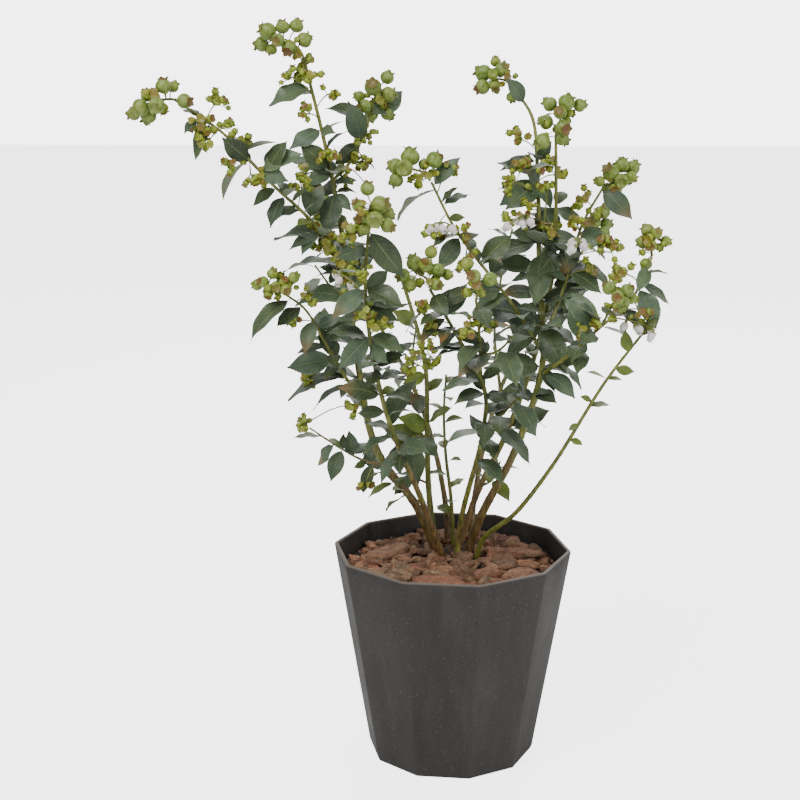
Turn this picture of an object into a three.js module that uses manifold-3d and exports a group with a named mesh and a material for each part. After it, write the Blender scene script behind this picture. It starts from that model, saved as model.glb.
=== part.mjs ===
// A young highbush blueberry in a ten-sided planter: the tapered pot, its growing medium and
// pine-bark mulch, the woody crown, ten canes, the leafy side shoots, and the berry clusters and
// flower sprays that they carry. Millimetres, +Z up, front towards -Y. The origin is the middle of
// the pot's base, on the ground.
import * as THREE from "three";
import { mergeVertices } from "three/addons/utils/BufferGeometryUtils.js";
import Module from "manifold-3d";

const wasm = await Module();
wasm.setup();

// ---- Driving dimensions -------------------------------------------------------------------------

const GAP = 0.3; // clearance that separate pieces keep from each other
const POT = { sides: 10, turn: 85, height: 215, rimRadius: 120, baseRadius: 84, wall: 4.5, floor: 6 };
const POT_EDGE = 1.5; // how far the rim's edges are eased
const POT_FOOT_EDGE = 2;
const DRAIN = { count: 5, radius: 6, ring: 46 };
const MEDIUM_TOP = 184;
const MULCH_TOP = 197;
const CHIP_THICKNESS = 6;
const CROWN = { x: 4, y: 32, foot: 150, top: 204, radius: 30, footTaper: 18, topTaper: 10 };
const LEAF = { thickness: 1.2, widthShare: 0.54, arch: 0.08, spread: 58, turnEach: 137.5 };
const SPUR = { radius: 7.5, pedicel: 1 };
const PEDICEL = 1.6; // radius of the short stalk that joins a berry to its cluster
const CLUSTER_STALK = [1.6, 2]; // radius at the foot and at the end
const SPRAY_STALK = [1.3, 1.2];
const BELL = { radius: 3.8, length: 9.5 };

const COLOURS = {
  pot: { color: 0x4a4745, roughness: 0.75 },
  medium: { color: 0x2b211b, roughness: 1.0 },
  mulch: { color: 0x6b4636, roughness: 0.95 },
  chip: { color: 0x96694f, roughness: 0.9 },
  crown: { color: 0x4c3d2c, roughness: 0.95 },
  cane: { color: 0x6d6c34, roughness: 0.6 },
  leaf: { color: 0x4f6250, roughness: 0.55 },
  berry: { color: 0x93a561, roughness: 0.45 },
  flower: { color: 0xe6dddb, roughness: 0.5 },
};

// Every stem runs along a route from its thick end to its tip; radius is at the foot and at the tip.
// A blade is a leaf: the share of the stem's length where it grows, where its tip is, and how far it
// turns from facing up (0) to facing the front (1). A spur is a small bunch of young fruit: the share
// of the stem's length, its middle, and its radius where that isn't the usual one. Some stems also
// carry leaves in a spiral.
const CANES = {
  cane_left_tall: {
    radius: [4.6, 1.5],
    route: [[-12, 26, 190], [-36, 14, 252], [-76, 6, 314], [-98, 15, 428], [-106, 25, 500],
      [-124, 37, 600], [-145, 42, 688]],
    leaves: 9, leaf: 42, from: 0.36, spin: 30, droop: 0.8,
    blades: [
      [0.48, -125, -15, 450, 0.6], [0.56, -150, 40, 465, 0.3], [0.62, -170, 35, 490, 0],
      [0.66, -175, 10, 525, 0.2], [0.72, -105, 15, 535, 0.6], [0.76, -100, 20, 550, 0.6],
      [0.76, -95, 45, 565, 0.1], [0.76, -125, 5, 530, 0.8], [0.8, -145, 10, 575, 0.7],
      [0.8, -100, 25, 590, 0.3], [0.8, -150, 25, 615, 0.6], [0.84, -105, 45, 625, 0.1],
      [0.88, -160, 25, 610, 0.5], [0.88, -115, 20, 625, 0.8], [0.96, -180, 30, 650, 0.5],
    ],
    spurs: [
      [0.36, -150, 0, 340], [0.36, -100, -5, 360], [0.46, -145, 0, 385], [0.58, -105, 0, 480],
      [0.64, -112, 0, 500, 12], [0.68, -122, 8, 520, 11], [0.7, -140, 15, 527, 12],
      [0.76, -110, 45, 585], [0.8, -150, 25, 585, 9], [0.8, -125, 25, 605], [0.9, -145, 30, 645],
      [0.92, -120, 35, 665], [0.96, -143, 36, 678, 9], [0.94, -160, 32, 680, 9],
    ],
  },
  cane_left_inner: {
    radius: [3.4, 1.4],
    route: [[-6, 14, 190], [-28, -16, 262], [-64, -65, 372], [-80, -100, 482], [-76, -118, 556]],
    leaves: 9, leaf: 42, from: 0.4, spin: 120, droop: 0.8,
    blades: [
      [0.56, -55, -55, 390, 0.5], [0.6, -50, -65, 405, 0.4], [0.64, -45, -90, 430, 0.5],
      [0.7, -60, -105, 425, 0.9], [0.72, -45, -100, 435, 0.3], [0.72, -105, -110, 420, 0.9],
      [0.78, -50, -105, 465, 0.5], [0.8, -45, -85, 475, 0.3], [0.84, -110, -120, 470, 0.8],
      [0.84, -45, -120, 480, 0.6], [0.94, -105, -125, 525, 0.8], [0.98, -45, -110, 505, 0.8],
    ],
    spurs: [
      [0.72, -65, -105, 460, 9], [0.8, -80, -110, 470], [0.92, -85, -120, 510],
      [0.98, -95, -125, 545, 9],
    ],
  },
  cane_centre: {
    radius: [3.6, 1.4],
    route: [[-16, 41, 190], [-24, 43, 260], [-26, 34, 332], [-28, 20, 398], [-48, 10, 476],
      [-66, 0, 524]],
    blades: [
      [0.36, -70, 10, 335, 0.8], [0.4, -55, 15, 345, 0.6], [0.42, 0, 15, 355, 0.4],
      [0.52, -10, 40, 380, 0.3], [0.58, -50, 10, 380, 0.6], [0.74, -60, 0, 455, 0.6],
      [0.88, -25, 20, 475, 0.3],
    ],
    spurs: [
      [0.6, -40, 10, 400, 10], [0.66, -25, 5, 415], [0.68, -20, 25, 400],
    ],
  },
  cane_middle: {
    radius: [3.2, 1.4],
    route: [[4, 12, 190], [10, -2, 248], [28, -46, 340], [30, -62, 390], [0, -80, 452],
      [-22, -92, 492]],
    leaves: 7, leaf: 42, from: 0.45, spin: 200, droop: 0.9,
    blades: [
      [0.64, 10, -50, 410, 0.3], [0.68, -10, -80, 395, 0.2], [0.78, -20, -85, 425, 0.1],
      [0.86, 30, -90, 440, 0.5], [0.9, -30, -90, 440, 0.2], [0.94, 20, -75, 490, 0.6],
      [0.96, -45, -80, 450, 0.1], [0.98, -5, -115, 470, 0.9],
    ],
    spurs: [
      [0.88, -20, -90, 460], [0.94, -30, -90, 475],
    ],
  },
  cane_right_tall: {
    radius: [4.6, 1.4],
    route: [[13, 25, 190], [30, 14, 244], [62, 4, 314], [88, 14, 400], [84, 34, 490], [82, 62, 584],
      [76, 80, 638], [56, 88, 666]],
    leaves: 5, leaf: 44, from: 0.3, spin: 60, droop: 0.8,
    blades: [
      [0.44, 30, -5, 400, 0.6], [0.44, 100, 0, 375, 0.7], [0.52, 110, -5, 395, 0.9],
      [0.52, 50, 10, 405, 0.3], [0.52, 25, 10, 460, 0.4], [0.56, 130, 40, 470, 0.3],
      [0.58, 45, 15, 470, 0.4], [0.66, 80, 5, 460, 0.9], [0.68, 25, 25, 495, 0.2],
      [0.68, 125, 30, 520, 0.8], [0.8, 95, 40, 550, 0.7], [0.8, 45, 70, 550, 0.6],
      [0.8, 50, 35, 550, 0.8], [0.84, 95, 55, 615, 0.9], [0.84, 45, 75, 585, 0.5],
      [0.96, 50, 75, 675, 0.7],
    ],
    spurs: [
      [0.6, 90, 20, 575], [0.68, 95, 35, 530, 9], [0.72, 55, 30, 540, 9], [0.74, 70, 30, 550],
      [0.76, 55, 40, 580, 10], [0.8, 105, 50, 585, 8.5], [0.8, 92, 55, 596],
      [0.82, 68, 45, 592, 11], [0.86, 60, 60, 620, 9],
    ],
  },
  cane_right_back: {
    radius: [3.6, 1.5],
    route: [[4, 40, 190], [26, 46, 258], [54, 56, 316], [82, 60, 396], [98, 52, 480], [99, 30, 546],
      [96, 8, 622]],
    leaves: 6, leaf: 44, from: 0.45, spin: 150, droop: 0.8,
    blades: [
      [0.3, 75, 40, 305, 0.5], [0.32, 100, 70, 340, 0.6], [0.38, 45, 50, 360, 0.4],
      [0.72, 120, 55, 485, 0.5], [0.76, 55, 55, 525, 0.5],
    ],
  },
  cane_long: {
    radius: [2.8, 1.2],
    route: [[23, 15, 190], [32, 4, 222], [62, -20, 256], [96, -40, 310], [144, -60, 400],
      [182, -64, 454]],
    blades: [
      [0.58, 125, -50, 335, 0.5], [0.64, 110, -55, 350, 0.5], [0.7, 150, -50, 375, 0.2],
      [0.72, 120, -60, 385, 0.5], [0.8, 160, -55, 400, 0.2], [0.8, 125, -65, 410, 0.2],
      [0.84, 170, -65, 410, 0.8], [0.9, 160, -65, 450, 0.9], [0.96, 190, -60, 460, 0.4],
    ],
  },
  cane_back_left: {
    radius: [3.2, 1.4],
    route: [[-4, 53, 190], [-8, 68, 246], [-36, 125, 336], [-96, 168, 436], [-136, 178, 504]],
    leaves: 9, leaf: 44, from: 0.45, spin: 20, droop: 0.8,
  },
  cane_back_right: {
    radius: [3.2, 1.4],
    route: [[19, 50, 190], [24, 72, 250], [50, 130, 346], [110, 165, 454], [142, 172, 496]],
    leaves: 8, leaf: 44, from: 0.5, spin: 200, droop: 0.8,
  },
  cane_young: {
    radius: [2.4, 1.1],
    route: [[2, 40, 190], [-1, 41, 250], [-7, 42, 300], [-9, 40, 345], [-7, 36, 384]],
    leaves: 11, leaf: 30, from: 0.2, spin: 40, droop: 0.7,
  },
};

// Side branches and shoots start inside the cane that they grow from.
const SHOOTS = {
  branch_far_left: {
    radius: [2.1, 1.2],
    route: [[-105, 22, 486], [-136, 0, 540], [-172, -25, 580], [-216, -45, 630], [-258, -52, 660]],
    leaves: 4, leaf: 34, from: 0.1, spin: 100, droop: 0.7,
    blades: [
      [0.28, -150, -20, 540, 0.3], [0.34, -175, 0, 545, 0.1], [0.4, -140, -20, 575, 0.4],
      [0.44, -175, -30, 540, 0.1], [0.58, -140, -40, 610, 0.5], [0.58, -155, -45, 585, 0.7],
      [0.64, -215, -50, 625, 0.8], [0.64, -220, -25, 565, 0.1], [0.68, -165, -30, 620, 0.3],
      [0.84, -240, -55, 605, 0.2], [0.88, -255, -40, 650, 0.3],
    ],
    spurs: [
      [0.36, -145, -5, 580], [0.56, -180, -35, 585], [0.64, -190, -40, 585], [0.66, -210, -45, 600],
      [0.66, -195, -30, 620], [0.8, -210, -40, 635], [0.8, -230, -55, 620, 8.5],
      [0.86, -220, -40, 660, 9], [0.88, -232, -55, 635, 10],
    ],
  },
  branch_upper_left: {
    radius: [1.8, 1.2],
    route: [[-119, 34, 578], [-102, 70, 596], [-84, 106, 638]],
    blades: [
      [0.16, -165, 65, 595, 0.3], [0.46, -80, 80, 585, 0.2], [0.64, -120, 65, 590, 0.8],
      [0.88, -130, 90, 645, 0.5], [0.98, -54, 134, 660, 0.6],
    ],
    spurs: [
      [0.54, -100, 70, 600], [0.56, -90, 75, 590], [0.88, -90, 90, 615, 9],
    ],
  },
  branch_mid_left: {
    radius: [2.0, 1.1],
    route: [[-93, 9, 366], [-114, -20, 408], [-140, -55, 466], [-156, -65, 481]],
    leaves: 4, leaf: 36, from: 0.1, spin: 60, droop: 0.7,
    blades: [
      [0.12, -140, 5, 355, 0.1], [0.16, -110, -15, 370, 0.5], [0.22, -165, 5, 365, 0.1],
      [0.4, -160, -35, 405, 0.7], [0.44, -130, -35, 445, 0.6], [0.56, -95, -45, 455, 0.6],
      [0.74, -140, -65, 425, 0.8], [0.96, -190, -80, 440, 0.2],
    ],
    spurs: [
      [0.72, -150, -55, 455], [0.92, -135, -65, 480],
    ],
  },
  branch_low_left: {
    radius: [1.6, 1.0],
    route: [[-64, 8, 296], [-90, 34, 294], [-114, 56, 300], [-150, 88, 314]],
    blades: [
      [0.2, -90, 15, 265, 0.5], [0.28, -100, 20, 290, 0.8], [0.44, -105, 35, 325, 0.6],
      [0.58, -125, 40, 270, 0.8], [0.58, -130, 65, 310, 0.2], [0.82, -165, 65, 310, 0.1],
    ],
    spurs: [
      [0.16, -90, 15, 270],
    ],
  },
  branch_centre: {
    radius: [2.0, 1.2],
    route: [[88, 16, 412], [56, -5, 464], [2, -20, 536], [-22, -20, 582]],
    leaves: 5, leaf: 38, from: 0.15, spin: 80, droop: 0.7,
    blades: [
      [0.28, 90, 10, 450, 0.4], [0.4, 15, 5, 475, 0.6], [0.56, 55, -5, 530, 0.6],
      [0.72, -15, -35, 500, 0.8], [0.82, 10, -30, 550, 0.8], [0.88, 15, -10, 570, 0.3],
      [0.96, -55, -10, 545, 0], [0.98, 5, -15, 605, 0.6],
    ],
    spurs: [
      [0.66, 10, -30, 505, 9], [0.72, 10, -30, 535], [0.84, -20, -30, 535, 9], [0.94, -6, -15, 596],
    ],
  },
  branch_right_low: {
    radius: [2.0, 1.2],
    route: [[85, 12, 388], [114, -20, 418], [138, -45, 448], [166, -52, 476], [186, -35, 514]],
    leaves: 5, leaf: 38, from: 0.1, spin: 20, droop: 0.8,
    blades: [
      [0.04, 120, -5, 370, 0.4], [0.14, 125, 0, 410, 0.6],
      [0.52, 105, -40, 475, 0.6], [0.82, 190, -60, 450, 0.5], [0.84, 205, -40, 470, 0.1],
      [0.94, 170, -60, 485, 0.9],
    ],
    spurs: [
      [0.5, 124, -55, 450, 9], [0.68, 190, -40, 460, 6], [0.76, 175, -60, 460],
      [0.84, 155, -55, 505, 9],
    ],
  },
  branch_right_upper: {
    radius: [1.8, 1.2],
    route: [[89, 18, 424], [108, 30, 472], [126, 45, 534], [147, 58, 570]],
    blades: [
      [0.24, 130, 45, 460, 0.5], [0.3, 145, 10, 440, 0.8], [0.44, 145, 20, 470, 0.5],
      [0.64, 155, 30, 520, 0.7], [0.64, 105, 30, 485, 0.8], [0.74, 95, 50, 550, 0.4],
      [0.98, 175, 45, 540, 0.6],
    ],
    spurs: [
      [0.4, 135, 25, 495, 9], [0.52, 160, 30, 510], [0.58, 100, 45, 525, 9], [0.6, 148, 30, 517, 9],
      [0.68, 120, 35, 540], [0.76, 140, 50, 545], [0.86, 124, 45, 562, 8.5],
    ],
  },
  branch_back_mid: {
    radius: [1.8, 1.1],
    route: [[50, 131, 348], [44, 152, 410], [52, 166, 470], [62, 170, 514]],
    leaves: 6, leaf: 42, from: 0.3, spin: 120, droop: 0.6,
  },
  branch_front: {
    radius: [1.6, 1.1],
    route: [[26, -66, 406], [24, -95, 446], [20, -120, 486]],
    leaves: 5, leaf: 44, from: 0.2, spin: 10, droop: 0.8,
    spurs: [
      [0.56, 25, -105, 465, 9], [0.68, 10, -110, 460],
    ],
  },
  shoot_low_left: {
    radius: [1.5, 0.9],
    route: [[-29, -17, 264], [-48, -14, 276], [-70, -8, 296]],
    leaves: 6, leaf: 32, from: 0.25, spin: 60, droop: 0.7,
  },
  shoot_low_centre: {
    radius: [1.4, 0.9],
    route: [[-25, 42, 268], [-42, 34, 280], [-56, 30, 304]],
    leaves: 6, leaf: 34, from: 0.25, spin: 10, droop: 0.8,
  },
  shoot_low_right: {
    radius: [1.4, 0.9],
    route: [[29, 47, 264], [40, 30, 276], [48, 14, 300]],
    leaves: 6, leaf: 30, from: 0.25, spin: 100, droop: 0.7,
  },
  shoot_left_back: {
    radius: [1.6, 1.0],
    route: [[-99, 17, 440], [-120, 44, 466], [-140, 62, 490]],
    leaves: 6, leaf: 46, from: 0.2, spin: 210, droop: 0.8,
  },
  shoot_centre_front: {
    radius: [1.5, 1.0],
    route: [[-26, 36, 320], [-40, 6, 326], [-52, -22, 322]],
    leaves: 6, leaf: 42, from: 0.2, spin: 60, droop: 0.8,
  },
  shoot_middle: {
    radius: [1.6, 1.0],
    route: [[15, -73, 425], [40, -92, 434], [54, -104, 450]],
    leaves: 6, leaf: 46, from: 0.2, spin: 160, droop: 0.9,
  },
  shoot_middle_low: {
    radius: [1.6, 1.0],
    route: [[28, -49, 346], [46, -60, 366], [60, -70, 384]],
    leaves: 6, leaf: 48, from: 0.2, spin: 250, droop: 1.0,
  },
  shoot_right_back: {
    radius: [1.6, 1.0],
    route: [[90, 46, 474], [112, 62, 486], [134, 84, 494]],
    leaves: 6, leaf: 44, from: 0.2, spin: 30, droop: 0.8,
  },
  shoot_back_left: {
    radius: [1.6, 1.0],
    route: [[-40, 129, 344], [-44, 154, 376], [-40, 170, 410]],
    leaves: 7, leaf: 46, from: 0.2, spin: 30, droop: 0.8,
  },
  shoot_back_right: {
    radius: [1.6, 1.0],
    route: [[84, 152, 408], [108, 138, 430], [132, 126, 452]],
    leaves: 7, leaf: 46, from: 0.2, spin: 260, droop: 0.8,
  },
};

// Berry clusters: the stalk runs from where it leaves its shoot into the middle of the cluster. Each
// berry is the middle of its globe and its radius.
const CLUSTERS = {
  berries_top_left: {
    stalk: [[-145, 42, 688], [-150, 42, 702], [-166, 42, 714]],
    berries: [
      [-181, 40, 720, 8], [-188, 50, 708, 7], [-167, 44, 724, 6.5], [-154, 48, 725, 6.5],
      [-146, 42, 712, 7], [-160, 34, 705, 7], [-170, 29, 712, 6], [-178, 46, 703, 5],
    ],
  },
  berries_far_left: {
    stalk: [[-258, -52, 660], [-266, -52, 660], [-280, -53, 657]],
    berries: [
      [-267, -54, 672, 7], [-284, -46, 663, 5.5], [-288, -58, 653, 7.5], [-272, -65, 655, 7],
      [-296, -50, 647, 6], [-283, -48, 645, 7], [-247, -62, 659, 6.5], [-260, -44, 671, 5],
    ],
  },
  berries_upper_left: {
    stalk: [[-84, 107, 639], [-83, 109, 648], [-80, 112, 660]],
    berries: [
      [-83, 104, 665, 8], [-69, 114, 674, 6.5], [-68, 112, 657, 7.5], [-97, 112, 655, 5.5],
      [-91, 102, 646, 6.5], [-74, 125, 647, 6], [-85, 112, 637, 6.5], [-69, 116, 638, 6.5],
    ],
  },
  berries_left_inner: {
    stalk: [[-76, -118, 557], [-76, -119, 564], [-74, -120, 573]],
    berries: [
      [-77, -121, 586, 6], [-85, -120, 571, 5.5], [-66, -122, 572, 7.5], [-80, -124, 562, 6],
      [-70, -133, 560, 7], [-60, -108, 563, 6], [-59, -126, 554, 6], [-81, -120, 551, 6.5],
    ],
  },
  berries_centre: {
    stalk: [[-23, -20, 583], [-28, -20, 590], [-46, -20, 596]],
    berries: [
      [-56, -20, 597, 7], [-42, -18, 605, 8.5], [-47, -30, 596, 7.5], [-55, -20, 584, 6.5],
      [-29, -14, 598, 5], [-19, -22, 603, 7.5],
    ],
  },
  berries_middle: {
    stalk: [[-22, -92, 493], [-24, -90, 500], [-36, -90, 508]],
    berries: [
      [-36, -88, 515, 7], [-25, -92, 513, 6], [-46, -96, 505, 6], [-40, -94, 496, 6],
      [-15, -90, 509, 6], [-6, -84, 504, 5], [-16, -98, 497, 5.5], [-21, -88, 525, 5.5],
    ],
  },
  berries_front: {
    stalk: [[20, -121, 487], [21, -121, 494], [19, -120, 503]],
    berries: [
      [18, -126, 509, 6], [32, -122, 506, 6], [12, -118, 519, 5.5],
    ],
  },
  berries_right_top: {
    stalk: [[55, 88, 667], [50, 90, 672], [36, 90, 674]],
    berries: [
      [28, 94, 679, 8], [40, 96, 690, 5], [46, 84, 683, 6.5], [37, 80, 678, 5], [27, 86, 666, 7],
      [39, 84, 668, 5.5], [56, 90, 656, 5],
    ],
  },
  berries_right_tall: {
    stalk: [[96, 8, 623], [96, 6, 628], [104, 6, 650]],
    berries: [
      [90, 8, 653, 6.5], [105, 4, 655, 7.5], [118, 12, 652, 6], [99, -2, 646, 6],
      [87, 12, 636, 6.5], [102, -2, 632, 7], [102, 10, 621, 6.5], [83, 0, 619, 7],
    ],
  },
  berries_far_right: {
    stalk: [[148, 58, 571], [156, 60, 574], [170, 60, 584]],
    berries: [
      [154, 56, 584, 8], [165, 62, 591, 7], [176, 68, 588, 7], [174, 56, 580, 5.5],
      [164, 50, 577, 6.5], [159, 60, 569, 7], [152, 73, 568, 5], [143, 54, 576, 5],
    ],
  },
  berries_right_side: {
    stalk: [[186, -34, 515], [186, -30, 520], [190, -30, 536]],
    berries: [
      [182, -26, 538, 6], [190, -32, 536, 5], [199, -28, 528, 5], [178, -26, 527, 6],
      [185, -36, 525, 5], [181, -32, 507, 5.5],
    ],
  },
  berries_right_front: {
    stalk: [[140, -47, 451], [145, -80, 474], [148, -108, 488]],
    berries: [
      [140, -106, 496, 6], [146, -123, 490, 5.5], [156, -108, 494, 6], [152, -114, 484, 6],
      [161, -102, 486, 5],
    ],
  },
  berries_mid_left: {
    stalk: [[-156, -65, 482], [-158, -70, 488], [-172, -70, 492]],
    berries: [
      [-183, -68, 491, 5], [-176, -76, 495, 5], [-168, -72, 502, 5], [-165, -76, 490, 5],
      [-173, -64, 484, 5], [-158, -68, 493, 5], [-155, -78, 488, 5], [-148, -74, 499, 5],
    ],
  },
  berries_back_left: {
    stalk: [[-136, 178, 505], [-137, 179, 516], [-140, 181, 528]],
    berries: [
      [-128, 186, 520, 6.5], [-146, 172, 518, 7], [-136, 174, 534, 7], [-148, 186, 530, 6.5],
      [-131, 188, 535, 6], [-141, 180, 544, 7], [-129, 175, 527, 5],
    ],
  },
  berries_back_right: {
    stalk: [[142, 172, 497], [148, 174, 510], [154, 174, 520]],
    berries: [
      [144, 182, 516, 6.5], [158, 166, 510, 7], [148, 166, 522, 7], [162, 180, 518, 6.5],
      [154, 184, 528, 6], [158, 172, 532, 7], [140, 170, 508, 5],
    ],
  },
};

// Flower sprays: white bells that hang from the spray's stalk.
const SPRAYS = {
  flowers_left_inner: { bells: 5, stalk: [[-79, -98, 474], [-88, -84, 492], [-112, -70, 506]] },
  flowers_centre: { bells: 5, stalk: [[2, -21, 537], [-8, -40, 546], [-18, -58, 548]] },
  flowers_right: { bells: 5, stalk: [[80, 44, 536], [68, 12, 548], [56, -14, 544]] },
  flowers_right_upper: { bells: 5, stalk: [[122, 42, 522], [120, 10, 526], [118, -10, 522]] },
  flowers_far_right: { bells: 5, stalk: [[150, -50, 459], [172, -62, 456], [186, -76, 452]] },
};

// The large bark chips that lie on the mulch: middle, length, width and turn in degrees.
const CHIPS = [
  { x: -64, y: -52, length: 48, width: 34, turn: 20 },
  { x: -12, y: -70, length: 54, width: 36, turn: -10 },
  { x: 70, y: -44, length: 40, width: 30, turn: 30 },
  { x: 34, y: -42, length: 32, width: 24, turn: 50 },
  { x: 64, y: 24, length: 58, width: 24, turn: -8 },
  { x: -64, y: 22, length: 50, width: 28, turn: 40 },
];

// ---- Geometry to solids and back ----------------------------------------------------------------

const UP = new THREE.Vector3(0, 0, 1);
const FRONT = new THREE.Vector3(0, -1, 0);
const vec = ([x, y, z]) => new THREE.Vector3(x, y, z);
const radians = THREE.MathUtils.degToRad;

/** A closed three.js geometry as a manifold-3d solid. */
function solidOf(geometry) {
  const bare = geometry.clone();
  bare.deleteAttribute("normal");
  bare.deleteAttribute("uv");
  const merged = mergeVertices(bare, 1e-3);
  return new wasm.Manifold(
    new wasm.Mesh({
      numProp: 3,
      vertProperties: new Float32Array(merged.attributes.position.array),
      triVerts: new Uint32Array(merged.index.array),
    }),
  );
}

/** A manifold-3d solid as a three.js geometry. */
function geometryOf(solid) {
  const mesh = solid.getMesh();
  const geometry = new THREE.BufferGeometry();
  geometry.setAttribute("position", new THREE.BufferAttribute(mesh.vertProperties, 3));
  geometry.setIndex(new THREE.BufferAttribute(mesh.triVerts, 1));
  geometry.computeVertexNormals();
  return geometry;
}

const joined = (solids) => solids.reduce((whole, next) => whole.add(next));

/** The largest separate body of a solid. */
const largest = (solid) => solid.decompose().reduce((a, b) => (b.volume() > a.volume() ? b : a));

/** Moves each vertex of a geometry to where place(vertex) puts it. */
function reshaped(geometry, place) {
  const at = geometry.attributes.position;
  const vertex = new THREE.Vector3();
  for (let i = 0; i < at.count; i += 1) {
    const moved = place(vertex.fromBufferAttribute(at, i));
    at.setXYZ(i, moved.x, moved.y, moved.z);
  }
  return geometry;
}

// ---- Shapes that repeat -------------------------------------------------------------------------

/** A tapered round stem along a route: a cylinder bent to the curve. */
function stem(route, [footRadius, tipRadius], sides, steps, grow = 0) {
  const curve = new THREE.CatmullRomCurve3(route.map(vec));
  const { binormals, normals } = curve.computeFrenetFrames(steps);
  const straight = new THREE.CylinderGeometry(tipRadius + grow, footRadius + grow, 1, sides, steps);
  return solidOf(
    reshaped(straight, ({ x, y, z }) => {
      const ring = Math.round((y + 0.5) * steps);
      const centre = curve.getPointAt(ring / steps);
      return centre.addScaledVector(binormals[ring], x).addScaledVector(normals[ring], z);
    }),
  );
}

/** A straight three-sided rod between two points. */
function rod(from, to, radius) {
  const length = from.distanceTo(to);
  const profile = [[0, 0], [radius, 0], [radius, length], [0, length]];
  return turned(profile, 3, from, to.clone().sub(from).normalize());
}

/** One leaf: a thin pointed blade from base to tip that arches, turned to the front by facing. */
function leaf(base, tip, facing, grow = 0) {
  const length = base.distanceTo(tip);
  const direction = tip.clone().sub(base).normalize();
  const face = UP.clone().lerp(FRONT, facing);
  face.addScaledVector(direction, -face.dot(direction)).normalize();
  const side = new THREE.Vector3().crossVectors(direction, face);
  const blade = new THREE.SphereGeometry(0.5, 4, 3);
  return solidOf(
    reshaped(blade, ({ x, y, z }) => {
      const share = y + 0.5;
      return base
        .clone()
        .addScaledVector(direction, share * length + (share > 0.9 ? grow : 0))
        .addScaledVector(side, x * (length * LEAF.widthShare + 2 * grow))
        .addScaledVector(face, LEAF.arch * length * Math.sin(Math.PI * share))
        .addScaledVector(face, z * (LEAF.thickness + 2 * grow));
    }),
  );
}

/** Where the leaves of a stem that carries a spiral of them grow, and where their tips are. */
function spiralLeaves(curve, { leaves = 0, leaf: length, from, spin, droop }) {
  return Array.from({ length: leaves }, (_, i) => {
    const share = from + ((0.98 - from) * (i + 0.5)) / leaves;
    const along = curve.getTangentAt(share);
    const outward = new THREE.Vector3(0, 1, 0).addScaledVector(along, -along.y).normalize();
    outward.applyAxisAngle(along, radians(spin + i * LEAF.turnEach));
    const size = length * (1 - 0.25 * share);
    const base = curve.getPointAt(share);
    const tip = base.clone().addScaledVector(outward, size * Math.sin(radians(LEAF.spread)));
    tip.addScaledVector(along, size * Math.cos(radians(LEAF.spread)));
    tip.addScaledVector(UP, -0.5 * droop * size);
    return { base, tip, facing: 0.15 };
  });
}

/** A small bunch of young fruit, as one lump that widens out of its pedicel. */
function spur(base, centre, radius = SPUR.radius, grow = 0) {
  const length = base.distanceTo(centre);
  const r = radius + grow;
  const profile = [[0, 0], [SPUR.pedicel + grow, 0.5 * length], [r, length], [0, length + r]];
  return turned(profile, 4, base, centre.clone().sub(base).normalize());
}

/** A stem with its leaves and spurs. */
function leafyStem(spec, sides, grow = 0) {
  const { route, radius, blades = [], spurs = [] } = spec;
  const curve = new THREE.CatmullRomCurve3(route.map(vec));
  const listed = blades.map(([share, x, y, z, facing]) => ({
    base: curve.getPointAt(share),
    tip: new THREE.Vector3(x, y, z),
    facing,
  }));
  const leaves = [...listed, ...spiralLeaves(curve, spec)];
  return largest(
    joined([
      stem(route, radius, sides, route.length + 2, grow),
      ...leaves.map(({ base, tip, facing }) => leaf(base, tip, facing, grow)),
      ...spurs.map(([share, x, y, z, size]) =>
        spur(curve.getPointAt(share), new THREE.Vector3(x, y, z), size, grow),
      ),
    ]),
  );
}

/** A lathe shape of few sides, turned so that its axis points along direction. */
function turned(profile, sides, at, direction) {
  const points = profile.map(([r, h]) => new THREE.Vector2(r, h));
  const shape = new THREE.LatheGeometry(points, sides);
  const tilt = new THREE.Quaternion().setFromUnitVectors(new THREE.Vector3(0, 1, 0), direction);
  shape.applyQuaternion(tilt).translate(at.x, at.y, at.z);
  return solidOf(shape);
}

/** Berries in a loose head, each joined by its own short stalk to the cluster's stalk. */
function berryCluster({ stalk, berries }, grow = 0) {
  const feet = new THREE.CatmullRomCurve3(stalk.map(vec)).getSpacedPoints(6);
  const parts = [stem(stalk, CLUSTER_STALK, 4, 2, grow)];
  for (const [x, y, z, radius] of berries) {
    const middle = new THREE.Vector3(x, y, z);
    const nearer = (a, b) => (b.distanceTo(middle) < a.distanceTo(middle) ? b : a);
    const foot = feet.reduce(nearer);
    if (foot.distanceTo(middle) > radius) parts.push(rod(foot, middle, PEDICEL + grow));
    parts.push(solidOf(new THREE.IcosahedronGeometry(radius + grow, 0).translate(x, y, z)));
  }
  return largest(joined(parts));
}

/** White bells that hang in turn from both sides of a stalk. */
function flowerSpray({ bells, stalk }, grow = 0) {
  const curve = new THREE.CatmullRomCurve3(stalk.map(vec));
  const r = BELL.radius + grow;
  const length = BELL.length + grow;
  const profile = [[0, -length], [0.9 * r, -0.8 * length], [0.8 * r, -0.2 * length], [0, 0.5]];
  const parts = [stem(stalk, SPRAY_STALK, 4, 3, grow)];
  for (let i = 0; i < bells; i += 1) {
    const share = 0.3 + (0.68 * i) / (bells - 1);
    const along = curve.getTangentAt(share);
    const side = new THREE.Vector3().crossVectors(along, UP).normalize();
    const lean = side.clone().multiplyScalar(i % 2 ? 0.9 : -0.9).add(UP).normalize();
    parts.push(turned(profile, 5, curve.getPointAt(share), lean));
  }
  return largest(joined(parts));
}

// ---- The pot and what fills it ------------------------------------------------------------------

const outerRadius = (z) => POT.baseRadius + ((POT.rimRadius - POT.baseRadius) * z) / POT.height;
const innerRadius = (z) => outerRadius(z) - POT.wall;

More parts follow.
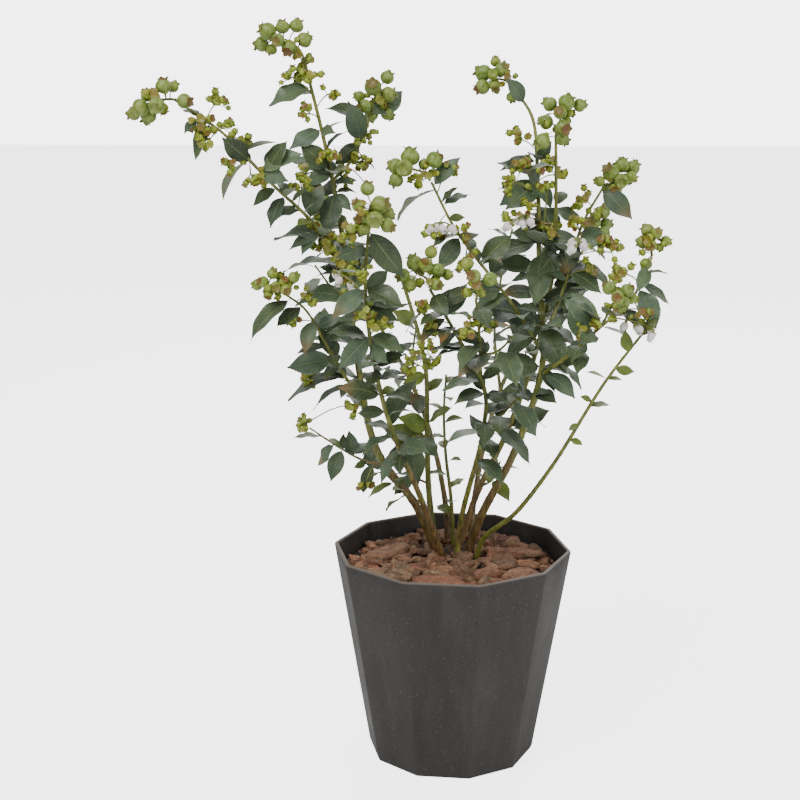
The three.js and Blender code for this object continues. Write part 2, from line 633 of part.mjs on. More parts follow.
/** A ten-sided shape turned about Z from its profile of radii and heights. */
function tenSided(profile) {
  const points = profile.map(([r, z]) => new THREE.Vector2(r, z));
  return solidOf(new THREE.LatheGeometry(points, POT.sides, radians(POT.turn)).rotateX(Math.PI / 2));
}

/** The tapered shell with a softened rim and drain holes round the middle of its floor. */
function pot() {
  const rim = POT.height;
  const shell = tenSided([
    [0, 0],
    [POT.baseRadius - POT_EDGE, 0],
    [outerRadius(POT_FOOT_EDGE), POT_FOOT_EDGE],
    [outerRadius(rim - POT_EDGE), rim - POT_EDGE],
    [POT.rimRadius - 1, rim],
    [innerRadius(rim) + 1, rim],
    [innerRadius(rim - POT_EDGE), rim - POT_EDGE],
    [innerRadius(POT.floor), POT.floor],
    [0, POT.floor],
  ]);
  const drill = new THREE.CylinderGeometry(DRAIN.radius, DRAIN.radius, 4 * POT.floor, 8).rotateX(Math.PI / 2);
  const drains = Array.from({ length: DRAIN.count }, (_, i) => {
    const angle = (2 * Math.PI * i) / DRAIN.count;
    return solidOf(drill.clone().translate(DRAIN.ring * Math.cos(angle), DRAIN.ring * Math.sin(angle), 0));
  });
  return shell.subtract(joined(drains));
}

/** A filling of the pot between two heights, clear of its wall and of the crown. */
function filling(low, high, crownHole) {
  const slab = tenSided([
    [0, low],
    [innerRadius(low) - GAP, low],
    [innerRadius(high) - GAP, high],
    [0, high],
  ]);
  return slab.subtract(crownHole);
}

/** The woody crown that the canes rise from, half buried in the medium. */
function crown(grow = 0) {
  const { foot, top, radius, footTaper, topTaper } = CROWN;
  const profile = [
    [0, foot - grow],
    [0.5 * radius + grow, foot - grow],
    [radius + grow, foot + footTaper],
    [radius + grow, top - topTaper],
    [0.7 * radius + grow, top + grow],
    [0, top + grow],
  ];
  const points = profile.map(([r, z]) => new THREE.Vector2(r, z));
  return solidOf(new THREE.LatheGeometry(points, 12).rotateX(Math.PI / 2).translate(CROWN.x, CROWN.y, 0));
}

/** One flat, broken-edged chip of bark that lies on the mulch. */
function barkChip({ x, y, length, width, turn }, index) {
  const corners = 7;
  const outline = new THREE.Shape(
    Array.from({ length: corners }, (_, i) => {
      const angle = (2 * Math.PI * i) / corners;
      const ragged = 0.5 + 0.06 * Math.sin(3 * angle + 2 * index);
      return new THREE.Vector2(length * ragged * Math.cos(angle), width * ragged * Math.sin(angle));
    }),
  );
  const slab = new THREE.ExtrudeGeometry(outline, { depth: CHIP_THICKNESS, bevelEnabled: false });
  return solidOf(slab.rotateZ(radians(turn)).translate(x, y, MULCH_TOP + GAP));
}

// ---- Assembly -----------------------------------------------------------------------------------

const group = new THREE.Group();
const placed = []; // each piece so far, grown by the gap, for the next ones to keep clear of

/** True where two bounding boxes meet. */
const boxesMeet = (a, b) => [0, 1, 2].every((k) => a.min[k] <= b.max[k] && b.min[k] <= a.max[k]);

/** Adds a solid as a named mesh. The pot, medium and chips are clear of the others as they are. */
function addClear(name, colour, solid) {
  const mesh = new THREE.Mesh(geometryOf(solid), new THREE.MeshStandardMaterial(COLOURS[colour]));
  mesh.name = name;
  group.add(mesh);
}

/** Adds a piece cut clear of those added here before it. make(grow) builds the piece. */
function add(name, colour, make) {
  const whole = make(0);
  const near = placed.filter((other) => boxesMeet(whole.boundingBox(), other.boundingBox()));
  const cut = near.reduce((left, other) => left.subtract(other), whole);
  addClear(name, colour, near.length ? largest(cut) : whole);
  placed.push(make(GAP));
}

addClear("pot", "pot", pot());
addClear("growing_medium", "medium", filling(POT.floor + GAP, MEDIUM_TOP, crown(GAP)));
CHIPS.forEach((chip, i) => addClear(`bark_chip_${i + 1}`, "chip", barkChip(chip, i)));
add("root_crown", "crown", crown);
add("mulch_bed", "mulch", (grow) => filling(MEDIUM_TOP + GAP, MULCH_TOP + grow, crown(GAP - grow)));

for (const [name, cane] of Object.entries(CANES)) {
  add(name, "cane", (grow) => leafyStem(cane, 5, grow));
}
for (const [name, cluster] of Object.entries(CLUSTERS)) {
  add(name, "berry", (grow) => berryCluster(cluster, grow));
}
for (const [name, spray] of Object.entries(SPRAYS)) {
  add(name, "flower", (grow) => flowerSpray(spray, grow));
}
for (const [name, shoot] of Object.entries(SHOOTS)) {
  add(name, "leaf", (grow) => leafyStem(shoot, 4, grow));
}

export default group;
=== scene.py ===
"""A young highbush blueberry in a ten-sided planter, with unripe fruit and a few late flowers.

The pot, its mulch, the canes, the leaves, the fruit and the flowers are made in the order in which
the real thing is put together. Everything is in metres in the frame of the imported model, which
stands on the ground with its front towards -Y. Measures written in millimetres carry MM.
"""
import math
import random

import bpy
import numpy as np
from mathutils import Matrix, Quaternion, Vector, noise


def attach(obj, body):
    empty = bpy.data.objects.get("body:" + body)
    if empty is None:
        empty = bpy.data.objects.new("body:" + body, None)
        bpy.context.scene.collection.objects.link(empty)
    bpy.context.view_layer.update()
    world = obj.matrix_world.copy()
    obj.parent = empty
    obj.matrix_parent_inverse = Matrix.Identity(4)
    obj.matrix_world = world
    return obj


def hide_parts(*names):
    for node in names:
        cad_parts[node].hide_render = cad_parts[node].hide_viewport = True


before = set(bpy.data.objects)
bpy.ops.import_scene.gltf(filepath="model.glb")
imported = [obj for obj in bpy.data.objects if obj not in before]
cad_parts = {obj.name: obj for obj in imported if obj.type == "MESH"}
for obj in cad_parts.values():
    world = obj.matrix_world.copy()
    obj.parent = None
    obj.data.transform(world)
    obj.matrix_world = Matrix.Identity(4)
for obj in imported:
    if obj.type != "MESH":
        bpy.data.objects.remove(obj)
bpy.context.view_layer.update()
MM = 0.001


# ---- The studio ---------------------------------------------------------------------------------
# The camera stands a little above the plant and looks slightly down on it, from far enough away
# for the pot's sides to look nearly straight. The floor is plain and pale, and the light is soft.

CAMERA_PLACE = Vector((0, -1.557, 0.734))
CAMERA_TURN = 1.92
CAMERA_TILT = 13.3
CAMERA_LENS = 73

camera_data = bpy.data.cameras.new("camera")
camera_data.lens = CAMERA_LENS
camera_data.sensor_width = 36
camera = bpy.data.objects.new("camera", camera_data)
camera.location = CAMERA_PLACE
camera.rotation_euler = (math.radians(90 - CAMERA_TILT), 0, math.radians(CAMERA_TURN))
bpy.context.scene.collection.objects.link(camera)
bpy.context.scene.camera = camera


def soft_light(name, place, aim, size, power, colour=(1, 1, 1)):
    """A square lamp at place that faces aim."""
    lamp = bpy.data.lights.new(name, "AREA")
    lamp.shape = "SQUARE"
    lamp.size = size
    lamp.energy = power
    lamp.color = colour
    lit = bpy.data.objects.new(name, lamp)
    lit.location = place
    lit.rotation_euler = (Vector(aim) - Vector(place)).to_track_quat("-Z", "Y").to_euler()
    bpy.context.scene.collection.objects.link(lit)


PLANT_MIDDLE = (0, 0, 0.4)
soft_light("key", (-1.0, -1.5, 2.5), PLANT_MIDDLE, 1.5, 62)
soft_light("fill", (2.0, -1.2, 1.1), PLANT_MIDDLE, 1.6, 20)
soft_light("back", (0.4, 2.0, 1.7), PLANT_MIDDLE, 1.8, 30)

STUDIO_AIR = 0.5
BACKDROP = 5.0

world = bpy.data.worlds.new("studio air")
world.use_nodes = True
air = world.node_tree.nodes["Background"]
air.inputs["Color"].default_value = (1, 1, 1, 1)
air.inputs["Strength"].default_value = STUDIO_AIR
backdrop = world.node_tree.nodes.new("ShaderNodeBackground")
backdrop.inputs["Color"].default_value = (1, 1, 1, 1)
backdrop.inputs["Strength"].default_value = BACKDROP
seen = world.node_tree.nodes.new("ShaderNodeLightPath")
either = world.node_tree.nodes.new("ShaderNodeMixShader")
world.node_tree.links.new(seen.outputs["Is Camera Ray"], either.inputs["Fac"])
world.node_tree.links.new(air.outputs["Background"], either.inputs[1])
world.node_tree.links.new(backdrop.outputs["Background"], either.inputs[2])
world.node_tree.links.new(either.outputs["Shader"], world.node_tree.nodes["World Output"].inputs["Surface"])
bpy.context.scene.world = world

FLOOR_REACH = 8
FLOOR_GLOW = 3.2
floor_mesh = bpy.data.meshes.new("studio floor")
floor_corners = [(-1, -1), (1, -1), (1, 1), (-1, 1)]
floor_mesh.from_pydata([(x * FLOOR_REACH, y * FLOOR_REACH, 0) for x, y in floor_corners], [],
    [(0, 1, 2, 3)])
floor = bpy.data.objects.new("studio_floor", floor_mesh)
bpy.context.scene.collection.objects.link(floor)
floor_finish = bpy.data.materials.new("studio floor")
floor_finish.use_nodes = True
floor_nodes = floor_finish.node_tree.nodes
floor_shader = floor_nodes["Principled BSDF"]
floor_shader.inputs["Base Color"].default_value = (0.92, 0.92, 0.91, 1)
floor_shader.inputs["Roughness"].default_value = 0.8
floor_shader.inputs["Emission Color"].default_value = (1, 1, 1, 1)
glow = floor_nodes.new("ShaderNodeMath")
glow.operation = "MULTIPLY"
glow.inputs[1].default_value = FLOOR_GLOW
floor_seen = floor_nodes.new("ShaderNodeLightPath")
floor_finish.node_tree.links.new(floor_seen.outputs["Is Camera Ray"], glow.inputs[0])
floor_finish.node_tree.links.new(glow.outputs["Value"], floor_shader.inputs["Emission Strength"])
floor_mesh.materials.append(floor_finish)


# ---- The pot ------------------------------------------------------------------------------------
# A tapered planter with ten flat sides, moulded in one piece from charcoal resin with a stony
# grain. Its edges are slightly rounded, its rim is thin, and it drains through five holes below.

POT_SIDES = 10
POT_TURN = math.radians(-5)
POT_HEIGHT = 215 * MM
RIM_RADIUS = 120 * MM
BASE_RADIUS = 84 * MM
POT_WALL = 4.5 * MM
POT_FLOOR = 6 * MM
EDGE_ROUNDING = 0.03
DRAIN_RADIUS = 6 * MM
DRAIN_RING = 46 * MM
DRAINS = 5


def paint(red, green, blue):
    """A colour mixed on the usual 0 to 255 scale, as the linear values that shaders take."""
    return tuple((c / 255 / 12.92 if c < 11 else ((c / 255 + 0.055) / 1.055) ** 2.4) for c in (red, green,
        blue)) + (1,)


class Surface:
    """The points and faces of one piece. Each point has a place (u, v) on the skin and a tone."""

    def __init__(self):
        self.points, self.faces, self.places, self.tones, self.finishes = [], [], [], [], []

    def ring(self, points, places, tone=(0, 0, 0)):
        """Adds a row of points and returns their numbers."""
        first = len(self.points)
        self.points.extend(points)
        self.places.extend(places)
        self.tones.extend([tone] * len(points))
        return list(range(first, len(self.points)))

    def strip(self, row, next_row, finish=0, closed=True):
        """Joins two rows of as many points with four-sided faces."""
        count = len(row)
        for i in range(count if closed else count - 1):
            j = (i + 1) % count
            self.faces.append((row[i], row[j], next_row[j], next_row[i]))
            self.finishes.append(finish)

    def cap(self, row, finish=0):
        """Closes the end of a row."""
        self.faces.append(tuple(row))
        self.finishes.append(finish)

    def piece(self, name, materials, slot, replaced=(), sharp=50):
        """Makes the piece, which stays with the plant's one rigid body."""
        mesh = bpy.data.meshes.new(name)
        mesh.from_pydata(self.points, [], self.faces)
        mesh.polygons.foreach_set("material_index", self.finishes)
        corners = np.zeros(len(mesh.loops), dtype=np.int32)
        mesh.loops.foreach_get("vertex_index", corners)
        skin = mesh.uv_layers.new(name="skin")
        skin.data.foreach_set("uv", np.array(self.places, dtype=np.float32)[corners].ravel())
        tone = mesh.attributes.new("tone", "FLOAT_COLOR", "POINT")
        tones = np.ones((len(self.points), 4), dtype=np.float32)
        tones[:, :3] = self.tones
        tone.data.foreach_set("color", tones.ravel())
        mesh.polygons.foreach_set("use_smooth", [True] * len(mesh.polygons))
        mesh.set_sharp_from_angle(angle=math.radians(sharp))
        for material in materials:
            mesh.materials.append(material)
        made = bpy.data.objects.new(name, mesh)
        bpy.context.scene.collection.objects.link(made)
        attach(made, "root")
        if replaced:
            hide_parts(*replaced)
        return made


def ten_sided_ring(radius, height):
    """The points of a level section of the pot, with each corner rounded off by three points."""
    points = []
    for side in range(POT_SIDES):
        here, back, ahead = (
            POT_TURN + math.tau * (side + step) / POT_SIDES for step in (0, -1, 1)
        )
        corner, before, after = (Vector((math.cos(a), math.sin(a), 0)) * radius for a in (here, back,
            ahead))
        start = corner.lerp(before, EDGE_ROUNDING)
        end = corner.lerp(after, EDGE_ROUNDING)
        middle = (start + end) / 2
        points += [start, middle.lerp(corner, 0.45), end]
        points += [end.lerp(after.lerp(corner, EDGE_ROUNDING), step / 4) for step in (1, 2, 3)]
    for point in points:
        point.z = height
    return points


def outer_radius(height):
    return BASE_RADIUS + (RIM_RADIUS - BASE_RADIUS) * height / POT_HEIGHT


def inner_radius(height):
    return outer_radius(height) - POT_WALL


pot_sections = [(outer_radius(0) - 2.5 * MM, 0), (outer_radius(0) - 0.8 * MM, 0.6 * MM),
    (outer_radius(3 * MM), 3 * MM)]
pot_sections += [(outer_radius(h * MM), h * MM) for h in (12, 50, 90, 130, 170, 200)]
pot_sections += [(outer_radius(POT_HEIGHT) - 0.3 * MM, POT_HEIGHT - 1.6 * MM),
    (RIM_RADIUS - 0.9 * MM, POT_HEIGHT - 0.4 * MM)]
pot_sections += [(RIM_RADIUS - 2 * MM, POT_HEIGHT), (inner_radius(POT_HEIGHT) + 1.5 * MM, POT_HEIGHT)]
pot_sections += [(inner_radius(POT_HEIGHT) + 0.5 * MM, POT_HEIGHT - 0.5 * MM),
    (inner_radius(POT_HEIGHT), POT_HEIGHT - 2 * MM)]
pot_sections += [(inner_radius(h * MM), h * MM) for h in (200, 100, 6)]

pot = Surface()
row = None
for radius, height in pot_sections:
    ring = ten_sided_ring(radius, height)
    next_row = pot.ring(ring, [(i / len(ring), height / POT_HEIGHT) for i in range(len(ring))])
    if row:
        pot.strip(row, next_row)
    else:
        underside = next_row
    row = next_row
pot.cap(row)
pot.cap(underside[::-1])


def noise_at(nodes, links, scale, detail, stretch=(1, 1, 1), roughness=0.55):
    """The output of a noise that is fixed in the model's own space and drawn out by stretch."""
    place = nodes.new("ShaderNodeNewGeometry")
    mapping = nodes.new("ShaderNodeMapping")
    mapping.inputs["Scale"].default_value = stretch
    texture = nodes.new("ShaderNodeTexNoise")
    texture.inputs["Scale"].default_value = scale
    texture.inputs["Detail"].default_value = detail
    texture.inputs["Roughness"].default_value = roughness
    links.new(place.outputs["Position"], mapping.inputs["Vector"])
    links.new(mapping.outputs["Vector"], texture.inputs["Vector"])
    return texture.outputs["Fac"]


def colour_steps(nodes, links, value, steps):
    """Turns a value into colours, by stops of (value, colour)."""
    ramp = nodes.new("ShaderNodeValToRGB")
    stops = ramp.color_ramp.elements
    while len(stops) < len(steps):
        stops.new(0.5)
    for stop, (at, colour) in zip(stops, steps):
        stop.position = at
        stop.color = colour
    links.new(value, ramp.inputs["Fac"])
    return ramp.outputs["Color"]


def mixed(nodes, links, amount, first, second, how="MIX"):
    """Mixes two colours by an amount. Each may be a colour or another node's output."""
    mix = nodes.new("ShaderNodeMix")
    mix.data_type = "RGBA"
    mix.blend_type = how
    for value, at in ((amount, 0), (first, 6), (second, 7)):
        if isinstance(value, bpy.types.NodeSocket):
            links.new(value, mix.inputs[at])
        else:
            mix.inputs[at].default_value = value
    return mix.outputs[2]


def worked_out(nodes, links, how, first, second, third=None):
    """One step of arithmetic on values, each a number or another node's output."""
    step = nodes.new("ShaderNodeMath")
    step.operation = how
    for at, value in enumerate((first, second, third)):
        if isinstance(value, bpy.types.NodeSocket):
            links.new(value, step.inputs[at])
        elif value is not None:
            step.inputs[at].default_value = value
    return step.outputs[0]


def spread(nodes, links, value, low, high, to_low=0.0, to_high=1.0):
    """Spreads the values between low and high smoothly over another range."""
    band = nodes.new("ShaderNodeMapRange")
    band.interpolation_type = "SMOOTHSTEP"
    for at, number in enumerate((low, high, to_low, to_high), start=1):
        band.inputs[at].default_value = number
    links.new(value, band.inputs[0])
    return band.outputs[0]


def new_finish(name, roughness=0.6):
    """An empty node material: its nodes, its links and its shader."""
    material = bpy.data.materials.new(name)
    material.use_nodes = True
    nodes, links = material.node_tree.nodes, material.node_tree.links
    shader = nodes["Principled BSDF"]
    shader.inputs["Roughness"].default_value = roughness
    return material, nodes, links, shader


def raise_surface(nodes, links, shader, height, distance, strength=1.0):
    """Bends the shading by a height, as a bump of that distance."""
    bump = nodes.new("ShaderNodeBump")
    bump.inputs["Strength"].default_value = strength
    bump.inputs["Distance"].default_value = distance
    links.new(height, bump.inputs["Height"])
    links.new(bump.outputs["Normal"], shader.inputs["Normal"])


def planter_resin():
    """Charcoal resin: cloudy grey, fine pale and dark grains, and a worn rim."""
    material, nodes, links, shader = new_finish("charcoal planter resin", 0.62)
    clouds = noise_at(nodes, links, 14, 5, (1, 1, 0.6), 0.6)
    grains = noise_at(nodes, links, 420, 3)
    brushing = noise_at(nodes, links, 60, 4, (1, 1, 0.12), 0.65)
    body = colour_steps(nodes, links, clouds, [(0.3, paint(34, 31, 30)), (0.52, paint(44, 41, 39)),
        (0.72, paint(58, 54, 52))])
    streaks = colour_steps(nodes, links, brushing,
        [(0.35, (0.72, 0.72, 0.72, 1)), (0.65, (1.22, 1.2, 1.18, 1))])
    body = mixed(nodes, links, 0.8, body, streaks, "MULTIPLY")
    specks = spread(nodes, links, grains, 0.62, 0.75, 0, 0.35)
    body = mixed(nodes, links, specks, body, paint(128, 121, 112))
    place = nodes.new("ShaderNodeNewGeometry")
    split = nodes.new("ShaderNodeSeparateXYZ")
    links.new(place.outputs["Position"], split.inputs["Vector"])
    rim = spread(nodes, links, split.outputs["Z"], 0.2128, 0.2146, 0, 0.8)
    body = mixed(nodes, links, rim, body, paint(112, 101, 92))
    links.new(body, shader.inputs["Base Color"])
    links.new(spread(nodes, links, clouds, 0.3, 0.7, 0.5, 0.72), shader.inputs["Roughness"])
    height = worked_out(nodes, links, "MULTIPLY_ADD", grains, 0.5, brushing)
    raise_surface(nodes, links, shader, height, 0.5 * MM, 0.45)
    return material


pot_shell = pot.piece("pot_shell", [planter_resin()], "pot", ["pot"], sharp=40)

drill = Surface()
for hole in range(DRAINS):
    turn = math.tau * hole / DRAINS
    middle = Vector((DRAIN_RING * math.cos(turn), DRAIN_RING * math.sin(turn), 0))
    rows = []
    for height in (-POT_FLOOR, 2 * POT_FLOOR):
        rim = [
            middle + Vector((DRAIN_RADIUS * math.cos(a), DRAIN_RADIUS * math.sin(a), height))
            for a in (math.tau * i / 24 for i in range(24))
        ]
        rows.append(drill.ring(rim, [(0, 0)] * 24))
    drill.strip(*rows)
    drill.cap(rows[0][::-1])
    drill.cap(rows[1])
drill_mesh = bpy.data.meshes.new("drain drill")
drill_mesh.from_pydata(drill.points, [], drill.faces)
drill_tool = bpy.data.objects.new("drain_drill", drill_mesh)
bpy.context.scene.collection.objects.link(drill_tool)
boring = pot_shell.modifiers.new("drains", "BOOLEAN")
boring.object = drill_tool
boring.solver = "EXACT"
bpy.context.view_layer.update()
bored = bpy.data.meshes.new_from_object(pot_shell.evaluated_get(bpy.context.evaluated_depsgraph_get()))
pot_shell.modifiers.clear()
pot_shell.data = bored
bpy.data.objects.remove(drill_tool)


# ---- The growing medium and the mulch ----------------------------------------------------------
# The pot is filled with a dark, damp bark mix. On it lie broken pieces of pine bark: a few large
# slabs, many smaller chips at all angles, and fine crumbs that fill the gaps between them.

MULCH_LEVEL = 196 * MM
CROWN_MIDDLE = Vector((4 * MM, 32 * MM, 0))
SLABS = [
    {"x": -64, "y": -52, "length": 48, "width": 34, "turn": 20},
    {"x": -12, "y": -70, "length": 54, "width": 36, "turn": -10},
    {"x": 70, "y": -44, "length": 40, "width": 30, "turn": 30},
    {"x": 34, "y": -42, "length": 32, "width": 24, "turn": 50},
    {"x": 64, "y": 24, "length": 58, "width": 24, "turn": -8},
    {"x": -64, "y": 22, "length": 50, "width": 28, "turn": 40},
]
LOOSE_CHIPS = 330
CRUMBS = 900


def damp_medium():
    """Dark bark mix with scattered paler fibres, its own dark brown painted down to nearly black as shade in the
    hollows of its bump.
    """
    material, nodes, links, shader = new_finish("damp bark mix", 0.9)
    clods = noise_at(nodes, links, 160, 8, roughness=0.7)
    fibres = noise_at(nodes, links, 300, 3, (1, 0.2, 0.5))
    # Partly real and partly painted shade: the low places of the bump get the darkest colour, over the mix's own dark
    # brown.
    body = colour_steps(nodes, links, clods, [(0.32, paint(18, 13, 11)), (0.55, paint(48, 35, 28)),
        (0.75, paint(80, 58, 45))])
    body = mixed(nodes, links, spread(nodes, links, fibres, 0.66, 0.74, 0, 0.6), body, paint(122, 94, 70))
    links.new(body, shader.inputs["Base Color"])
    raise_surface(nodes, links, shader, clods, 3 * MM, 0.9)
    return material


def shared_grown_surface():
    """A group that grown materials share: broad clouds, a finer grain and the piece's own tones."""
    group = bpy.data.node_groups.new("grown surface", "ShaderNodeTree")
    for name in ("Cloud Scale", "Grain Scale"):
        group.interface.new_socket(name, in_out="INPUT", socket_type="NodeSocketFloat")
    group.interface.new_socket("Grain Stretch", in_out="INPUT", socket_type="NodeSocketVector")
    for name in ("Clouds", "Grain", "First Tone", "Second Tone", "Third Tone"):
        group.interface.new_socket(name, in_out="OUTPUT", socket_type="NodeSocketFloat")
    nodes, links = group.nodes, group.links
    given = nodes.new("NodeGroupInput")
    results = nodes.new("NodeGroupOutput")
    place = nodes.new("ShaderNodeNewGeometry")
    drawn_out = nodes.new("ShaderNodeVectorMath")
    drawn_out.operation = "MULTIPLY"
    links.new(place.outputs["Position"], drawn_out.inputs[0])
    links.new(given.outputs["Grain Stretch"], drawn_out.inputs[1])
    for name, vector in (("Cloud", place.outputs["Position"]), ("Grain", drawn_out.outputs["Vector"])):
        texture = nodes.new("ShaderNodeTexNoise")
        texture.inputs["Detail"].default_value = 5
        texture.inputs["Roughness"].default_value = 0.62
        links.new(vector, texture.inputs["Vector"])
        links.new(given.outputs[name + " Scale"], texture.inputs["Scale"])
        links.new(texture.outputs["Fac"], results.inputs["Clouds" if name == "Cloud" else name])
    tone = nodes.new("ShaderNodeAttribute")
    tone.attribute_name = "tone"
    parts = nodes.new("ShaderNodeSeparateColor")
    links.new(tone.outputs["Color"], parts.inputs["Color"])
    for channel, name in (("Red", "First"), ("Green", "Second"), ("Blue", "Third")):
        links.new(parts.outputs[channel], results.inputs[name + " Tone"])
    return group


GROWN_SURFACE = shared_grown_surface()


def grown(nodes, cloud_scale, grain_scale, stretch=(1, 1, 1)):
    """Places the shared group in a material with that material's own values."""
    placed = nodes.new("ShaderNodeGroup")
    placed.node_tree = GROWN_SURFACE
    placed.inputs["Cloud Scale"].default_value = cloud_scale
    placed.inputs["Grain Scale"].default_value = grain_scale
    placed.inputs["Grain Stretch"].default_value = stretch
    return placed.outputs


def pine_bark():
    """Red-brown bark: layered along the grain, with painted shade darkening the cracks of its bump, and a tone of its
    own per chip.
    """
    material, nodes, links, shader = new_finish("pine bark", 0.85)
    piece = grown(nodes, 130, 300)
    skin = nodes.new("ShaderNodeUVMap")
    skin.uv_map = "skin"
    drawn_out = nodes.new("ShaderNodeMapping")
    drawn_out.inputs["Scale"].default_value = (90, 900, 1)
    links.new(skin.outputs["UV"], drawn_out.inputs["Vector"])
    grain = nodes.new("ShaderNodeTexNoise")
    grain.inputs["Scale"].default_value = 1
    grain.inputs["Detail"].default_value = 6
    grain.inputs["Roughness"].default_value = 0.7
    links.new(drawn_out.outputs["Vector"], grain.inputs["Vector"])
    red = colour_steps(nodes, links, grain.outputs["Fac"],
        [(0.28, paint(72, 42, 30)), (0.5, paint(150, 100, 74)), (0.72, paint(190, 142, 112))])
    grey = colour_steps(nodes, links, grain.outputs["Fac"],
        [(0.28, paint(74, 56, 42)), (0.5, paint(142, 116, 88)), (0.72, paint(184, 158, 128))])
    body = mixed(nodes, links, piece["First Tone"], red, grey)
    # Painted shade: where the bump sinks into cracks, the bark colour is darkened to less than half.
    depth = colour_steps(nodes, links, piece["Clouds"],
        [(0.36, (0.45, 0.4, 0.38, 1)), (0.6, (1.05, 1.03, 1, 1))])
    body = mixed(nodes, links, 0.75, body, depth, "MULTIPLY")
    shade = nodes.new("ShaderNodeCombineColor")
    for channel in ("Red", "Green", "Blue"):
        links.new(piece["Second Tone"], shade.inputs[channel])
    body = mixed(nodes, links, 1.0, body, shade.outputs["Color"], "MULTIPLY")
    links.new(body, shader.inputs["Base Color"])
    height = worked_out(nodes, links, "MULTIPLY_ADD", piece["Clouds"], 1.2, grain.outputs["Fac"])
    raise_surface(nodes, links, shader, height, 1.6 * MM, 0.8)
    return material


def mulch_height(x, y):
    """The mulch is uneven, and heaped a little round the crown."""
    rise = 7 * MM * math.exp(-((x - CROWN_MIDDLE.x) ** 2 + (y - CROWN_MIDDLE.y) ** 2) / (60 * MM) ** 2)
    return MULCH_LEVEL - 3 * MM + rise + 2.2 * MM * noise.noise(Vector((x, y, 0)) * 45)


def bark_chip(chips, middle, length, width, thick, turn, tilt, tone, dice):
    """One broken slab of bark: a ragged outline, worn edges and a top that is split along the grain."""
    corners = 14
    ragged = [1 + dice.uniform(-0.2, 0.16) for _ in range(corners)]
    lie = Matrix.Rotation(turn, 3, "Z") @ Matrix.Rotation(tilt[0], 3, "X") @ Matrix.Rotation(tilt[1], 3,
        "Y")
    bend = dice.uniform(-0.12, 0.12)
    levels = [(0.55, 0), (0.94, 0), (1.0, 0.3), (0.97, 0.72), (0.86, 1.0), (0.5, 1.04), (0.2, 1.0)]
    row = None
    for share, level in levels:
        points, places = [], []
        for i in range(corners):
            angle = math.tau * i / corners
            squared = 1 / max(abs(math.cos(angle)), abs(math.sin(angle))) ** 0.55
            x = 0.5 * length * share * ragged[i] * squared * math.cos(angle)
            y = 0.5 * width * share * ragged[(i + 3) % corners] * squared * math.sin(angle)
            split = 0.16 * thick * math.sin(y / width * 19 + 3 * ragged[0]) if level > 0.9 else 0
            z = thick * (level - 0.5) + split + bend * (x * x) / length
            points.append(middle + lie @ Vector((x, y, z)))
            places.append((x + 3 * middle.x, y + thick * level + middle.y))
        next_row = chips.ring(points, places, tone)
        if row:
            chips.strip(row, next_row)
        else:
            chips.cap(next_row[::-1])
        row = next_row
    chips.cap(row)


def inside_pot(x, y, height, margin):
    """True where a point is clear of the pot's wall by a margin."""
    reach = (inner_radius(height) - 1 * MM) * math.cos(math.pi / POT_SIDES) - margin
    half = math.pi / POT_SIDES
    angle = (math.atan2(y, x) - POT_TURN) % (2 * half) - half
    return math.hypot(x, y) * math.cos(angle) < reach


dice = random.Random(11)
bark = pine_bark()

ground = Surface()
ground_rings = 26
ground_rows = []
for step in range(ground_rings + 1):
    radius = (inner_radius(MULCH_LEVEL) - 0.5 * MM) * step / ground_rings
    section = ten_sided_ring(max(radius, 0.5 * MM), 0)
    lie = [Vector((p.x, p.y, mulch_height(p.x, p.y))) for p in section]
    ground_rows.append(ground.ring(lie, [(p.x, p.y) for p in lie]))
for inner, outer in zip(ground_rows, ground_rows[1:]):
    ground.strip(inner, outer)
ground.cap(ground_rows[0])
footing = [Vector((p.x, p.y, 185 * MM)) for p in ten_sided_ring(inner_radius(185 * MM) - 0.5 * MM, 0)]
foot_row = ground.ring(footing, [(p.x, p.y) for p in footing])
ground.strip(ground_rows[-1], foot_row)
ground.cap(foot_row[::-1])
medium = damp_medium()
ground.piece("mulch_ground", [medium], "mulch", ["mulch_bed"])
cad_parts["growing_medium"].data.materials.clear()
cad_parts["growing_medium"].data.materials.append(medium)

for number, slab in enumerate(SLABS, start=1):
    chips = Surface()
    place = Vector((slab["x"] * MM, slab["y"] * MM, 200.5 * MM))
    bark_chip(
        chips, place, slab["length"] * MM, slab["width"] * MM, 6 * MM, math.radians(slab["turn"]),
        (dice.uniform(-0.08, 0.08), dice.uniform(-0.08, 0.08)),
            (dice.uniform(0, 0.9), dice.uniform(0.85, 1.1), 0), dice,
    )
    chips.piece(f"bark_slab_{number}", [bark], "chip", [f"bark_chip_{number}"], sharp=55)

loose = Surface()
placed = 0
while placed < LOOSE_CHIPS:
    x, y = dice.uniform(-0.11, 0.11), dice.uniform(-0.11, 0.11)
    length = dice.uniform(11, 30) * MM
    near_crown = math.hypot(x - CROWN_MIDDLE.x, y - CROWN_MIDDLE.y) < 22 * MM
    if near_crown or not inside_pot(x, y, MULCH_LEVEL, 0.5 * length):
        continue
    thick = dice.uniform(2.5, 5) * MM
    lift = dice.uniform(0.2, 4.5) * MM
    bark_chip(
        loose, Vector((x, y, mulch_height(x, y) + lift)), length, length * dice.uniform(0.4, 0.8), thick,
        dice.uniform(0, math.tau), (dice.gauss(0, 0.26), dice.gauss(0, 0.26)),
        (dice.uniform(0, 1), dice.uniform(0.5, 1.12), 0), dice,
    )
    placed += 1
loose.piece("loose_bark_chips", [bark], "chip", sharp=55)

